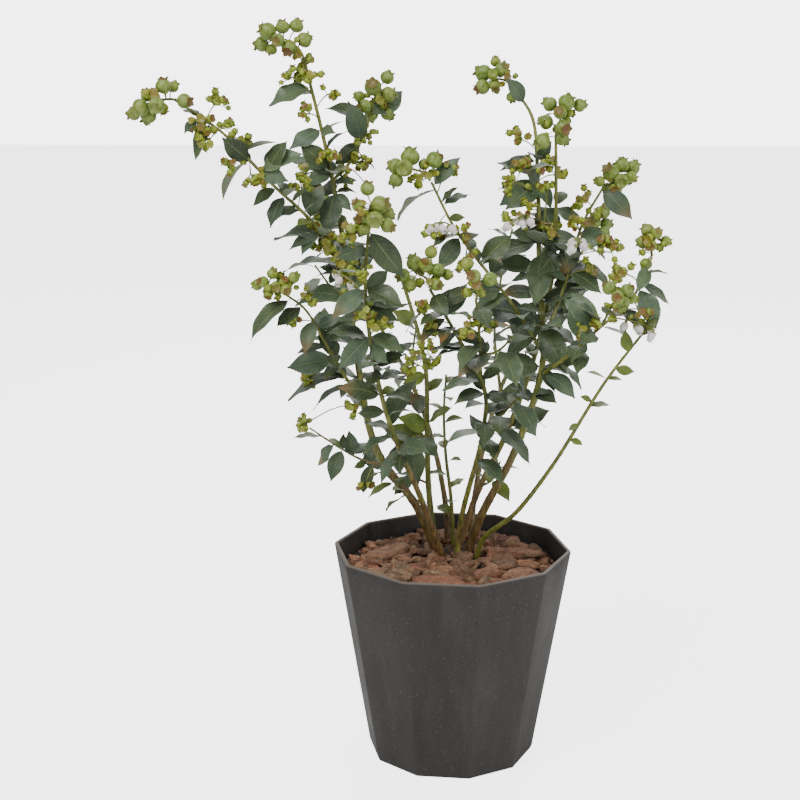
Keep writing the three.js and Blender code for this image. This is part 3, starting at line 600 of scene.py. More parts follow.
crumbs = Surface()
placed = 0
while placed < CRUMBS:
    x, y = dice.uniform(-0.112, 0.112), dice.uniform(-0.112, 0.112)
    if not inside_pot(x, y, MULCH_LEVEL, 2.5 * MM):
        continue
    size = dice.uniform(1.2, 4.5) * MM
    centre = Vector((x, y, mulch_height(x, y) + dice.uniform(0, 5) * MM))
    spin = Quaternion((dice.gauss(0, 1), dice.gauss(0, 1), dice.gauss(0, 1), dice.gauss(0, 1))).normalized()
    tone = (dice.uniform(0, 1), dice.uniform(0.35, 1.0), 0)
    rows = []
    for share, level in ((0.5, -0.5), (1, -0.15), (0.9, 0.3), (0.4, 0.5)):
        rim = []
        for i in range(6):
            angle = math.tau * i / 6
            rim.append(centre + spin @ Vector((
                size * share * math.cos(angle) * dice.uniform(0.35, 0.55),
                    0.3 * size * share * math.sin(angle),
                0.4 * size * level,
            )))
        rows.append(crumbs.ring(rim, [(p.x, p.y) for p in rim], tone))
    for row, next_row in zip(rows, rows[1:]):
        crumbs.strip(row, next_row)
    crumbs.cap(rows[0][::-1])
    crumbs.cap(rows[-1])
    placed += 1
crumbs.piece("bark_crumbs", [bark], "chip", sharp=60)


# ---- The woody crown ----------------------------------------------------------------------------
# The plant's old wood, where all the canes start, sits in the mulch as a dark, knuckled lump with
# flaking bark. It is grown, so it is lumpy all over and has no flat faces.

CROWN_RADIUS = 24 * MM
CROWN_FOOT = 180 * MM
CROWN_TOP = 203 * MM


def old_wood():
    """Dark grey-brown bark in flakes."""
    material, nodes, links, shader = new_finish("old crown wood", 0.9)
    flakes = noise_at(nodes, links, 190, 7, (1, 1, 0.45), 0.7)
    body = colour_steps(nodes, links, flakes, [(0.33, paint(30, 22, 17)), (0.52, paint(66, 52, 38)),
        (0.72, paint(112, 90, 66))])
    links.new(body, shader.inputs["Base Color"])
    raise_surface(nodes, links, shader, flakes, 2 * MM, 0.9)
    return material


crown = Surface()
crown_steps, crown_sides = 12, 32
row = None
for step in range(crown_steps + 1):
    share = step / crown_steps
    height = CROWN_FOOT + (CROWN_TOP - CROWN_FOOT) * math.sin(share * math.pi / 2)
    radius = CROWN_RADIUS * max(math.cos(share * math.pi / 2) ** 0.6, 0.08)
    points = []
    for i in range(crown_sides):
        angle = math.tau * i / crown_sides
        point = Vector((radius * math.cos(angle), radius * math.sin(angle), height)) + CROWN_MIDDLE
        knuckle = 1 + 0.35 * noise.noise(point * 90) + 0.12 * noise.noise(point * 260)
        points.append(CROWN_MIDDLE + Vector((radius * knuckle * math.cos(angle),
            radius * knuckle * math.sin(angle), height)))
    next_row = crown.ring(points, [(i / crown_sides, share) for i in range(crown_sides)])
    if row:
        crown.strip(row, next_row)
    else:
        crown.cap(next_row[::-1])
    row = next_row
crown.cap(row)
crown.piece("root_crown_wood", [old_wood()], "crown", ["root_crown"])


# ---- The canes, side branches and shoots --------------------------------------------------------
# Ten canes rise from the crown and fork into branches and leafy shoots. Young wood is smooth and
# green, old wood is browner near the foot; each has small swellings where leaves and buds grow.

STEMS = {
    "cane_left_tall": {
        "radius": (4.6, 1.5),
        "route": [(-12, 26, 190), (-36, 14, 252), (-76, 6, 314), (-98, 15, 428), (-106, 25, 500),
            (-124, 37, 600), (-145, 42, 688)],
    },
    "cane_left_inner": {
        "radius": (3.4, 1.4),
        "route": [(-6, 14, 190), (-28, -16, 262), (-64, -65, 372), (-80, -100, 482),
            (-76, -118, 556)],
    },
    "cane_centre": {
        "radius": (3.6, 1.4),
        "route": [(-16, 41, 190), (-24, 43, 260), (-26, 34, 332), (-28, 20, 398), (-48, 10, 476),
            (-66, 0, 524)],
    },
    "cane_middle": {
        "radius": (3.2, 1.4),
        "route": [(4, 12, 190), (10, -2, 248), (28, -46, 340), (30, -62, 390), (0, -80, 452),
            (-22, -92, 492)],
    },
    "cane_right_tall": {
        "radius": (4.6, 1.4),
        "route": [(13, 25, 190), (30, 14, 244), (62, 4, 314), (88, 14, 400), (84, 34, 490),
            (82, 62, 584), (76, 80, 638), (56, 88, 666)],
    },
    "cane_right_back": {
        "radius": (3.6, 1.5),
        "route": [(4, 40, 190), (26, 46, 258), (54, 56, 316), (82, 60, 396), (98, 52, 480),
            (99, 30, 546), (96, 8, 622)],
    },
    "cane_long": {
        "radius": (2.8, 1.2),
        "route": [(23, 15, 190), (32, 4, 222), (62, -20, 256), (96, -40, 310), (144, -60, 400),
            (182, -64, 454)],
    },
    "cane_back_left": {
        "radius": (3.2, 1.4),
        "route": [(-4, 53, 190), (-8, 68, 246), (-36, 125, 336), (-96, 168, 436), (-136, 178, 504)],
    },
    "cane_back_right": {
        "radius": (3.2, 1.4),
        "route": [(19, 50, 190), (24, 72, 250), (50, 130, 346), (110, 165, 454), (142, 172, 496)],
    },
    "cane_young": {
        "radius": (2.4, 1.1),
        "route": [(2, 40, 190), (-1, 41, 250), (-7, 42, 300), (-9, 40, 345), (-7, 36, 384)],
    },
    "branch_far_left": {
        "radius": (2.1, 1.2),
        "route": [(-105, 22, 486), (-136, 0, 540), (-172, -25, 580), (-216, -45, 630),
            (-258, -52, 660)],
    },
    "branch_upper_left": {
        "radius": (1.8, 1.2),
        "route": [(-119, 34, 578), (-102, 70, 596), (-84, 106, 638)],
    },
    "branch_mid_left": {
        "radius": (2, 1.1),
        "route": [(-93, 9, 366), (-114, -20, 408), (-140, -55, 466), (-156, -65, 481)],
    },
    "branch_low_left": {
        "radius": (1.6, 1),
        "route": [(-64, 8, 296), (-90, 34, 294), (-114, 56, 300), (-150, 88, 314)],
    },
    "branch_centre": {
        "radius": (2, 1.2),
        "route": [(88, 16, 412), (56, -5, 464), (2, -20, 536), (-22, -20, 582)],
    },
    "branch_right_low": {
        "radius": (2, 1.2),
        "route": [(85, 12, 388), (114, -20, 418), (138, -45, 448), (166, -52, 476), (186, -35, 514)],
    },
    "branch_right_upper": {
        "radius": (1.8, 1.2),
        "route": [(89, 18, 424), (108, 30, 472), (126, 45, 534), (147, 58, 570)],
    },
    "branch_back_mid": {
        "radius": (1.8, 1.1),
        "route": [(50, 131, 348), (44, 152, 410), (52, 166, 470), (62, 170, 514)],
    },
    "branch_front": {
        "radius": (1.6, 1.1),
        "route": [(26, -66, 406), (24, -95, 446), (20, -120, 486)],
    },
    "shoot_low_left": {
        "radius": (1.5, 0.9),
        "route": [(-29, -17, 264), (-48, -14, 276), (-70, -8, 296)],
    },
    "shoot_low_centre": {
        "radius": (1.4, 0.9),
        "route": [(-25, 42, 268), (-42, 34, 280), (-56, 30, 304)],
    },
    "shoot_low_right": {
        "radius": (1.4, 0.9),
        "route": [(29, 47, 264), (40, 30, 276), (48, 14, 300)],
    },
    "shoot_left_back": {
        "radius": (1.6, 1),
        "route": [(-99, 17, 440), (-120, 44, 466), (-140, 62, 490)],
    },
    "shoot_centre_front": {
        "radius": (1.5, 1),
        "route": [(-26, 36, 320), (-40, 6, 326), (-52, -22, 322)],
    },
    "shoot_middle": {
        "radius": (1.6, 1),
        "route": [(15, -73, 425), (40, -92, 434), (54, -104, 450)],
    },
    "shoot_middle_low": {
        "radius": (1.6, 1),
        "route": [(28, -49, 346), (46, -60, 366), (60, -70, 384)],
    },
    "shoot_right_back": {
        "radius": (1.6, 1),
        "route": [(90, 46, 474), (112, 62, 486), (134, 84, 494)],
    },
    "shoot_back_left": {
        "radius": (1.6, 1),
        "route": [(-40, 129, 344), (-44, 154, 376), (-40, 170, 410)],
    },
    "shoot_back_right": {
        "radius": (1.6, 1),
        "route": [(84, 152, 408), (108, 138, 430), (132, 126, 452)],
    },
}


class Route:
    """A smooth curve through points, measured along its length as a share from 0 to 1."""

    STEPS = 160

    def __init__(self, points_mm):
        knots = [Vector(point) * MM for point in points_mm]
        knots = [2 * knots[0] - knots[1]] + knots + [2 * knots[-1] - knots[-2]]
        self.trail = []
        spans = len(knots) - 3
        for step in range(self.STEPS + 1):
            along = min(step / self.STEPS * spans, spans - 1e-9)
            span = int(along)
            self.trail.append(self.between(knots[span : span + 4], along - span))
        steps = [(b - a).length for a, b in zip(self.trail, self.trail[1:])]
        self.reached = [0]
        for length in steps:
            self.reached.append(self.reached[-1] + length)
        self.length = self.reached[-1]

    @staticmethod
    def between(four, share):
        """The point at a share of the way between the middle two of four points."""
        gaps = [max((b - a).length ** 0.5, 1e-6) for a, b in zip(four, four[1:])]
        start, end = four[1], four[2]
        leave = ((start - four[0]) / gaps[0] - (end - four[0]) / (gaps[0] + gaps[1]) + (end - start) / gaps[1]) * gaps[1]
        arrive = ((end - start) / gaps[1] - (four[3] - start) / (gaps[1] + gaps[2]) + (four[3] - end) / gaps[2]) * gaps[1]
        a = 2 * start - 2 * end + leave + arrive
        b = -3 * start + 3 * end - 2 * leave - arrive
        return ((a * share + b) * share + leave) * share + start

    def at(self, share):
        """The point at a share of the length."""
        wanted = min(max(share, 0), 1) * self.length
        low = max(0, min(int(np.searchsorted(self.reached, wanted)) - 1, self.STEPS - 1))
        gap = self.reached[low + 1] - self.reached[low]
        return self.trail[low].lerp(self.trail[low + 1], (wanted - self.reached[low]) / max(gap, 1e-9))

    def heading(self, share):
        """The direction of the curve at a share of its length."""
        return (self.at(min(share + 0.01, 1)) - self.at(max(share - 0.01, 0))).normalized()


def tube(surface, route, radius_at, sides, rings, tone=(0, 0, 0), start=0.0, end=1.0, finish=0):
    """A round stem along a route, closed at both ends. radius_at gives its radius at each share."""
    side = None
    row = None
    for ring in range(rings + 1):
        share = start + (end - start) * ring / rings
        centre, along = route.at(share), route.heading(share)
        if side is None:
            side = along.orthogonal().normalized()
        side = (side - along * side.dot(along)).normalized()
        across = along.cross(side)
        radius = radius_at(share)
        points = [
            centre + (side * math.cos(a) + across * math.sin(a)) * radius
            for a in (math.tau * i / sides for i in range(sides))
        ]
        places = [(i / sides, share * route.length) for i in range(sides)]
        next_row = surface.ring(points, places, tone)
        if row:
            surface.strip(row, next_row, finish)
        else:
            surface.cap(next_row[::-1], finish)
        row = next_row
    surface.cap(row, finish)


def cane_bark():
    """Green bark with fine streaks and pores, turning brown and flaky towards the foot."""
    material, nodes, links, shader = new_finish("blueberry cane bark", 0.5)
    piece = grown(nodes, 38, 240, (1, 1, 0.14))
    streaks = piece["Grain"]
    green = colour_steps(nodes, links, streaks,
        [(0.3, paint(74, 82, 30)), (0.52, paint(112, 116, 48)), (0.74, paint(150, 152, 78))])
    brown = colour_steps(nodes, links, streaks,
        [(0.3, paint(62, 46, 28)), (0.52, paint(112, 88, 52)), (0.74, paint(152, 126, 84))])
    age = worked_out(nodes, links, "ADD", piece["First Tone"],
        worked_out(nodes, links, "SUBTRACT", piece["Clouds"], 0.5))
    body = mixed(nodes, links, spread(nodes, links, age, 0.25, 0.75), green, brown)
    links.new(body, shader.inputs["Base Color"])
    raise_surface(nodes, links, shader, streaks, 0.6 * MM, 0.6)
    return material


routes = {name: Route(stem["route"]) for name, stem in STEMS.items()}


def stem_radius(name):
    """The radius of a stem at each share of its length, with its swellings."""
    foot, tip = (radius * MM for radius in STEMS[name]["radius"])
    length = routes[name].length
    phase = sum(ord(letter) for letter in name) % 7

    def radius_at(share):
        taper = foot + (tip - foot) * share
        distance = share * length / (19 * MM) + phase
        swelling = max(0, math.cos(math.tau * distance)) ** 16
        return taper * (1 + 0.16 * swelling)

    return radius_at


bark_finish = cane_bark()
for name, stem in STEMS.items():
    route = routes[name]
    wood = Surface()
    sides = 12 if name.startswith("cane") else 8
    rings = max(12, int(route.length / (2.4 * MM)))
    side = None
    row = None
    radius_at = stem_radius(name)
    for ring in range(rings + 1):
        share = ring / rings
        centre, along = route.at(share), route.heading(share)
        side = along.orthogonal().normalized() if side is None else (side - along * side.dot(along)).normalized()
        across = along.cross(side)
        low = max(0.0, 1 - (centre.z - 0.2) / 0.26)
        age = 0.85 * low if name not in ("cane_centre", "cane_long", "cane_young") else 0.12 * low
        age = age * 0.6 if name == "cane_middle" else age
        points = []
        for i in range(sides):
            angle = math.tau * i / sides
            out = side * math.cos(angle) + across * math.sin(angle)
            uneven = 1 + 0.05 * noise.noise((centre + out * 0.004) * 300)
            points.append(centre + out * radius_at(share) * uneven)
        next_row = wood.ring(points, [(i / sides, share * route.length) for i in range(sides)], (age, 0, 0))
        if row:
            wood.strip(row, next_row)
        else:
            wood.cap(next_row[::-1])
        row = next_row
    wood.cap(row)
    wood.piece(f"wood_of_{name}", [bark_finish], "cane", [name])


# ---- The leaves ---------------------------------------------------------------------------------
# Each leaf is a pointed oval blade on a short stalk: blue-green and waxy above with a pale midrib
# and curved side veins, paler and matt beneath. Some arch over, some are folded along the midrib.

LEAF_THICKNESS = 0.45 * MM
LEAF_ACROSS = 8
LEAF_STATIONS = 16
FRONT = Vector((0, -1, 0))
UP = Vector((0, 0, 1))

BLADES = {
    "cane_left_tall": [
        (0.48, -125, -15, 450, 0.6), (0.56, -150, 40, 465, 0.3), (0.62, -170, 35, 490, 0),
        (0.66, -175, 10, 525, 0.2), (0.72, -105, 15, 535, 0.6), (0.76, -100, 20, 550, 0.6),
        (0.76, -95, 45, 565, 0.1), (0.76, -125, 5, 530, 0.8), (0.8, -145, 10, 575, 0.7),
        (0.8, -100, 25, 590, 0.3), (0.8, -150, 25, 615, 0.6), (0.84, -105, 45, 625, 0.1),
        (0.88, -160, 25, 610, 0.5), (0.88, -115, 20, 625, 0.8), (0.96, -180, 30, 650, 0.5),
    ],
    "cane_left_inner": [
        (0.56, -55, -55, 390, 0.5), (0.6, -50, -65, 405, 0.4), (0.64, -45, -90, 430, 0.5),
        (0.7, -60, -105, 425, 0.9), (0.72, -45, -100, 435, 0.3), (0.72, -105, -110, 420, 0.9),
        (0.78, -50, -105, 465, 0.5), (0.8, -45, -85, 475, 0.3), (0.84, -110, -120, 470, 0.8),
        (0.84, -45, -120, 480, 0.6), (0.94, -105, -125, 525, 0.8), (0.98, -45, -110, 505, 0.8),
    ],
    "cane_centre": [
        (0.36, -70, 10, 335, 0.8), (0.4, -55, 15, 345, 0.6), (0.42, 0, 15, 355, 0.4),
        (0.52, -10, 40, 380, 0.3), (0.58, -50, 10, 380, 0.6), (0.74, -60, 0, 455, 0.6),
        (0.88, -25, 20, 475, 0.3),
    ],
    "cane_middle": [
        (0.64, 10, -50, 410, 0.3), (0.68, -10, -80, 395, 0.2), (0.78, -20, -85, 425, 0.1),
        (0.86, 30, -90, 440, 0.5), (0.9, -30, -90, 440, 0.2), (0.94, 20, -75, 490, 0.6),
        (0.96, -45, -80, 450, 0.1), (0.98, -5, -115, 470, 0.9),
    ],
    "cane_right_tall": [
        (0.44, 30, -5, 400, 0.6), (0.44, 100, 0, 375, 0.7), (0.52, 110, -5, 395, 0.9),
        (0.52, 50, 10, 405, 0.3), (0.52, 25, 10, 460, 0.4), (0.56, 130, 40, 470, 0.3),
        (0.58, 45, 15, 470, 0.4), (0.66, 80, 5, 460, 0.9), (0.68, 25, 25, 495, 0.2),
        (0.68, 125, 30, 520, 0.8), (0.8, 95, 40, 550, 0.7), (0.8, 45, 70, 550, 0.6),
        (0.8, 50, 35, 550, 0.8), (0.84, 95, 55, 615, 0.9), (0.84, 45, 75, 585, 0.5),
        (0.96, 50, 75, 675, 0.7),
    ],
    "cane_right_back": [
        (0.3, 75, 40, 305, 0.5), (0.32, 100, 70, 340, 0.6), (0.38, 45, 50, 360, 0.4),
        (0.72, 120, 55, 485, 0.5), (0.76, 55, 55, 525, 0.5),
    ],
    "cane_long": [
        (0.58, 125, -50, 335, 0.5), (0.64, 110, -55, 350, 0.5), (0.7, 150, -50, 375, 0.2),
        (0.72, 120, -60, 385, 0.5), (0.8, 160, -55, 400, 0.2), (0.8, 125, -65, 410, 0.2),
        (0.84, 170, -65, 410, 0.8), (0.9, 160, -65, 450, 0.9), (0.96, 190, -60, 460, 0.4),
    ],
    "branch_far_left": [
        (0.28, -150, -20, 540, 0.3), (0.34, -175, 0, 545, 0.1), (0.4, -140, -20, 575, 0.4),
        (0.44, -175, -30, 540, 0.1), (0.58, -140, -40, 610, 0.5), (0.58, -155, -45, 585, 0.7),
        (0.64, -215, -50, 625, 0.8), (0.64, -220, -25, 565, 0.1), (0.68, -165, -30, 620, 0.3),
        (0.84, -240, -55, 605, 0.2), (0.88, -255, -40, 650, 0.3),
    ],
    "branch_upper_left": [
        (0.16, -165, 65, 595, 0.3), (0.46, -80, 80, 585, 0.2), (0.64, -120, 65, 590, 0.8),
        (0.88, -130, 90, 645, 0.5), (0.98, -54, 134, 660, 0.6),
    ],
    "branch_mid_left": [
        (0.12, -140, 5, 355, 0.1), (0.16, -110, -15, 370, 0.5), (0.22, -165, 5, 365, 0.1),
        (0.4, -160, -35, 405, 0.7), (0.44, -130, -35, 445, 0.6), (0.56, -95, -45, 455, 0.6),
        (0.74, -140, -65, 425, 0.8), (0.96, -190, -80, 440, 0.2),
    ],
    "branch_low_left": [
        (0.2, -90, 15, 265, 0.5), (0.28, -100, 20, 290, 0.8), (0.44, -105, 35, 325, 0.6),
        (0.58, -125, 40, 270, 0.8), (0.58, -130, 65, 310, 0.2), (0.82, -165, 65, 310, 0.1),
    ],
    "branch_centre": [
        (0.28, 90, 10, 450, 0.4), (0.4, 15, 5, 475, 0.6), (0.56, 55, -5, 530, 0.6),
        (0.72, -15, -35, 500, 0.8), (0.82, 10, -30, 550, 0.8), (0.88, 15, -10, 570, 0.3),
        (0.96, -55, -10, 545, 0), (0.98, 5, -15, 605, 0.6),
    ],
    "branch_right_low": [
        (0.04, 120, -5, 370, 0.4), (0.14, 125, 0, 410, 0.6), (0.52, 105, -40, 475, 0.6),
        (0.82, 190, -60, 450, 0.5), (0.84, 205, -40, 470, 0.1), (0.94, 170, -60, 485, 0.9),
    ],
    "branch_right_upper": [
        (0.24, 130, 45, 460, 0.5), (0.3, 145, 10, 440, 0.8), (0.44, 145, 20, 470, 0.5),
        (0.64, 155, 30, 520, 0.7), (0.64, 105, 30, 485, 0.8), (0.74, 95, 50, 550, 0.4),
        (0.98, 175, 45, 540, 0.6),
    ],
}

LEAF_SPIRALS = {
    "cane_left_tall": {"leaves": 9, "length": 42, "from": 0.36, "spin": 30, "droop": 0.8},
    "cane_left_inner": {"leaves": 9, "length": 42, "from": 0.4, "spin": 120, "droop": 0.8},
    "cane_middle": {"leaves": 7, "length": 42, "from": 0.45, "spin": 200, "droop": 0.9},
    "cane_right_tall": {"leaves": 5, "length": 44, "from": 0.3, "spin": 60, "droop": 0.8},
    "cane_right_back": {"leaves": 6, "length": 44, "from": 0.45, "spin": 150, "droop": 0.8},
    "cane_back_left": {"leaves": 9, "length": 44, "from": 0.45, "spin": 20, "droop": 0.8},
    "cane_back_right": {"leaves": 8, "length": 44, "from": 0.5, "spin": 200, "droop": 0.8},
    "cane_young": {"leaves": 11, "length": 30, "from": 0.2, "spin": 40, "droop": 0.7},
    "branch_far_left": {"leaves": 4, "length": 34, "from": 0.1, "spin": 100, "droop": 0.7},
    "branch_mid_left": {"leaves": 4, "length": 36, "from": 0.1, "spin": 60, "droop": 0.7},
    "branch_centre": {"leaves": 5, "length": 38, "from": 0.15, "spin": 80, "droop": 0.7},
    "branch_right_low": {"leaves": 5, "length": 38, "from": 0.1, "spin": 20, "droop": 0.8},
    "branch_back_mid": {"leaves": 6, "length": 42, "from": 0.3, "spin": 120, "droop": 0.6},
    "branch_front": {"leaves": 5, "length": 44, "from": 0.2, "spin": 10, "droop": 0.8},
    "shoot_low_left": {"leaves": 6, "length": 32, "from": 0.25, "spin": 60, "droop": 0.7},
    "shoot_low_centre": {"leaves": 6, "length": 34, "from": 0.25, "spin": 10, "droop": 0.8},
    "shoot_low_right": {"leaves": 6, "length": 30, "from": 0.25, "spin": 100, "droop": 0.7},
    "shoot_left_back": {"leaves": 6, "length": 46, "from": 0.2, "spin": 210, "droop": 0.8},
    "shoot_centre_front": {"leaves": 6, "length": 42, "from": 0.2, "spin": 60, "droop": 0.8},
    "shoot_middle": {"leaves": 6, "length": 46, "from": 0.2, "spin": 160, "droop": 0.9},
    "shoot_middle_low": {"leaves": 6, "length": 48, "from": 0.2, "spin": 250, "droop": 1},
    "shoot_right_back": {"leaves": 6, "length": 44, "from": 0.2, "spin": 30, "droop": 0.8},
    "shoot_back_left": {"leaves": 7, "length": 46, "from": 0.2, "spin": 30, "droop": 0.8},
    "shoot_back_right": {"leaves": 7, "length": 46, "from": 0.2, "spin": 260, "droop": 0.8},
}

SMALL_LEAF_SPACING = 13 * MM
SMALL_LEAF_LENGTH = (26, 50)
LEAFY_REACH = {
    "cane_left_tall": (0.34, 0.82),
    "cane_left_inner": (0.36, 0.88),
    "cane_middle": (0.4, 0.95),
    "cane_right_tall": (0.36, 0.85),
    "cane_right_back": (0.3, 0.8),
    "cane_back_left": (0.35, 0.95),
    "cane_back_right": (0.35, 0.95),
}
YOUNG_STEMS = ("cane_long", "cane_young", "cane_centre", "shoot_low_left", "shoot_low_right")


def leaf_skin(name, upper):
    """A leaf's upper or lower skin. The tone's red is its youth, green its bloom, blue its depth."""
    material, nodes, links, shader = new_finish(name, 0.44 if upper else 0.7)
    piece = grown(nodes, 55, 260)
    skin = nodes.new("ShaderNodeUVMap")
    skin.uv_map = "skin"
    place = nodes.new("ShaderNodeSeparateXYZ")
    links.new(skin.outputs["UV"], place.inputs["Vector"])
    cells, clouds = piece["Grain"], piece["Clouds"]
    if upper:
        dark = colour_steps(nodes, links, clouds, [(0.35, paint(30, 44, 22)), (0.65, paint(50, 66, 34))])
        waxy = colour_steps(nodes, links, clouds, [(0.35, paint(62, 84, 66)), (0.65, paint(90, 110, 84))])
        fresh = colour_steps(nodes, links, clouds,
            [(0.35, paint(88, 112, 18)), (0.65, paint(128, 142, 34))])
    else:
        dark = colour_steps(nodes, links, clouds, [(0.35, paint(88, 104, 74)), (0.65, paint(110, 124, 92))])
        waxy = colour_steps(nodes, links, clouds,
            [(0.35, paint(108, 124, 102)), (0.65, paint(134, 146, 122))])
        fresh = colour_steps(nodes, links, clouds,
            [(0.35, paint(118, 134, 56)), (0.65, paint(146, 156, 76))])
    body = mixed(nodes, links, piece["Second Tone"], dark, waxy)
    body = mixed(nodes, links, piece["First Tone"], body, fresh)
    across = worked_out(nodes, links, "ABSOLUTE",
        worked_out(nodes, links, "SUBTRACT", place.outputs["X"], 0.5), 0)
    sweep = worked_out(nodes, links, "MULTIPLY_ADD", across, -0.42, place.outputs["Y"])
    waves = worked_out(nodes, links, "COSINE", worked_out(nodes, links, "MULTIPLY", sweep, math.tau * 8), 0)
    side_veins = spread(nodes, links, waves, 0.86, 0.99)
    midrib = spread(nodes, links, across, 0.035, 0.012)
    veins = worked_out(nodes, links, "MAXIMUM", worked_out(nodes, links, "MULTIPLY", side_veins, 0.4),
        midrib)
    vein_colour = paint(112, 126, 70) if upper else paint(150, 160, 112)
    body = mixed(nodes, links, worked_out(nodes, links, "MULTIPLY", veins, 0.62), body, vein_colour)
    blush = worked_out(nodes, links, "MULTIPLY", spread(nodes, links, place.outputs["Y"], 0.5, 1.0),
        piece["Third Tone"])
    body = mixed(nodes, links, blush, body, paint(150, 104, 46))
    links.new(body, shader.inputs["Base Color"])
    links.new(spread(nodes, links, cells, 0.3, 0.7, 0.36, 0.55) if upper else cells,
        shader.inputs["Roughness"])
    shader.inputs["Sheen Weight"].default_value = 0.12 if upper else 0.3
    height = worked_out(nodes, links, "MULTIPLY_ADD", veins, -0.8 if upper else 0.8,
        worked_out(nodes, links, "MULTIPLY", cells, 0.5))
    raise_surface(nodes, links, shader, height, 0.5 * MM, 0.7)
    return material


def blade_width(share):
    """The half width of a leaf at a share of its length, as a share of its half width at most."""
    oval = math.sin(math.pi * share ** 0.86) ** 0.82 if 0 < share < 1 else 0
    point = min(1, (1 - share) * 3.4) ** 0.35
    return max(oval * point, 0.045)


def leaf(leaves, base, tip, facing, dice, breadth=0.5, tone=(0, 0, 0)):
    """One leaf from base to tip, its upper side turned from facing up (0) to the front (1)."""
    length = (tip - base).length
    along = (tip - base).normalized()
    face = UP.lerp(FRONT, facing)
    face = (face - along * face.dot(along)).normalized()
    roll = Quaternion(along, math.radians(dice.gauss(0, 9)))
    face = roll @ face
    side = along.cross(face)
    half = 0.5 * length * breadth
    arch = 0.08 + dice.uniform(-0.02, 0.03)
    hook = dice.uniform(0, 0.12)
    fold = dice.uniform(-0.05, 0.32)
    ripple = dice.uniform(0.0, 0.03)
    phase = dice.uniform(0, math.tau)
    twist = dice.gauss(0, 0.16)
    stalk = 0.06
    row = None
    for station in range(LEAF_STATIONS + 1):
        share = station / LEAF_STATIONS
        blade = max(0.0, (share - stalk) / (1 - stalk))
        wide = half * blade_width(blade) if share > stalk else half * 0.05
        spine = base + along * (share * length) + face * length * (arch * math.sin(math.pi * share) - hook * share ** 3 * 0.4)
        turn = twist * share
        out = side * math.cos(turn) + face * math.sin(turn)
        lift = face * math.cos(turn) - side * math.sin(turn)
        upper, lower = [], []
        for i in range(LEAF_ACROSS + 1):
            u = 2 * i / LEAF_ACROSS - 1
            cupped = fold * wide * abs(u) ** 1.3
            waved = ripple * length * u * u * math.sin(phase + share * 15 + (2 if u > 0 else 0))
            point = spine + out * (u * wide * (1 - 0.12 * abs(fold))) + lift * (cupped + waved)
            thick = LEAF_THICKNESS * (0.15 + 0.85 * (1 - abs(u)))
            upper.append((point + lift * thick / 2, (0.5 + u / 2, share)))
            lower.append((point - lift * thick / 2, (0.5 + u / 2, share)))
        loop = upper + lower[-2:0:-1]
        next_row = leaves.ring([p for p, _ in loop], [q for _, q in loop], tone)
        if row:
            for i in range(len(loop)):
                j = (i + 1) % len(loop)
                leaves.faces.append((row[i], next_row[i], next_row[j], row[j]))
                leaves.finishes.append(0 if i < LEAF_ACROSS else 1)
        else:
            leaves.cap(next_row, 1)
        row = next_row
    leaves.cap(row[::-1], 1)


def leaf_tone(name, size, dice):
    """How young, how bloomy and how flushed a leaf is, by where it grows."""
    if name in YOUNG_STEMS:
        return (dice.uniform(0.35, 0.95), dice.uniform(0, 0.5), dice.uniform(0, 0.15))
    young = dice.uniform(0.25, 0.8) if size < 24 * MM and dice.random() < 0.5 else dice.uniform(0, 0.14)
    bloom = dice.choice((dice.uniform(0, 0.35), dice.uniform(0.3, 0.75), dice.uniform(0.6, 1)))
    flushed = dice.uniform(0.2, 0.8) if dice.random() < 0.08 else 0
    return (young, bloom, flushed)


upper_skin = leaf_skin("leaf upper side", True)
lower_skin = leaf_skin("leaf underside", False)
for number, (name, route) in enumerate(routes.items()):
    dice = random.Random(100 + number)
    foliage = Surface()
    for share, x, y, z, facing in BLADES.get(name, ()):
        base, tip = route.at(share), Vector((x, y, z)) * MM
        breadth = dice.uniform(0.44, 0.56)
        leaf(foliage, base, tip, facing, dice, breadth, leaf_tone(name, (tip - base).length, dice))
    spiral = LEAF_SPIRALS.get(name)
    for i in range(spiral["leaves"] if spiral else 0):
        share = spiral["from"] + (0.98 - spiral["from"]) * (i + 0.5) / spiral["leaves"]
        along = route.heading(share)
        outward = (Vector((0, 1, 0)) - along * along.y).normalized()
        outward = Quaternion(along, math.radians(spiral["spin"] + 137.5 * i)) @ outward
        size = spiral["length"] * MM * (1 - 0.25 * share)
        base = route.at(share)
        spread_angle = math.radians(58)
        tip = base + outward * size * math.sin(spread_angle) + along * size * math.cos(spread_angle)
        tip -= UP * 0.5 * spiral["droop"] * size
        leaf(foliage, base, tip, 0.15, dice, dice.uniform(0.44, 0.56), leaf_tone(name, size, dice))
    reach = LEAFY_REACH.get(name, (0.15, 0.7) if name.startswith("branch") else None)
    if reach:
        count = round((reach[1] - reach[0]) * route.length / SMALL_LEAF_SPACING)
        for i in range(count):
            share = reach[0] + (reach[1] - reach[0]) * (i + dice.random()) / count
            along = route.heading(share)
            outward = Quaternion(along, dice.uniform(0, math.tau)) @ along.orthogonal().normalized()
            size = dice.uniform(*SMALL_LEAF_LENGTH) * MM
            tip = route.at(share) + (outward * 0.9 + along * 0.3 - UP * dice.uniform(-0.2, 0.4)) * size
            facing = dice.uniform(0, 0.7)
            leaf(foliage, route.at(share), tip, facing, dice, dice.uniform(0.44, 0.56),
                leaf_tone(name, size, dice))
    if foliage.points:
        foliage.piece(f"leaves_of_{name}", [upper_skin, lower_skin], "leaf", [name], sharp=75)


# ---- The berries --------------------------------------------------------------------------------
# Unripe berries hang in clusters: pale green globes with a whitish bloom, each ending in a crown of
# five pointed lobes round a shallow pit, and each on its own short stalk from the cluster's stem.

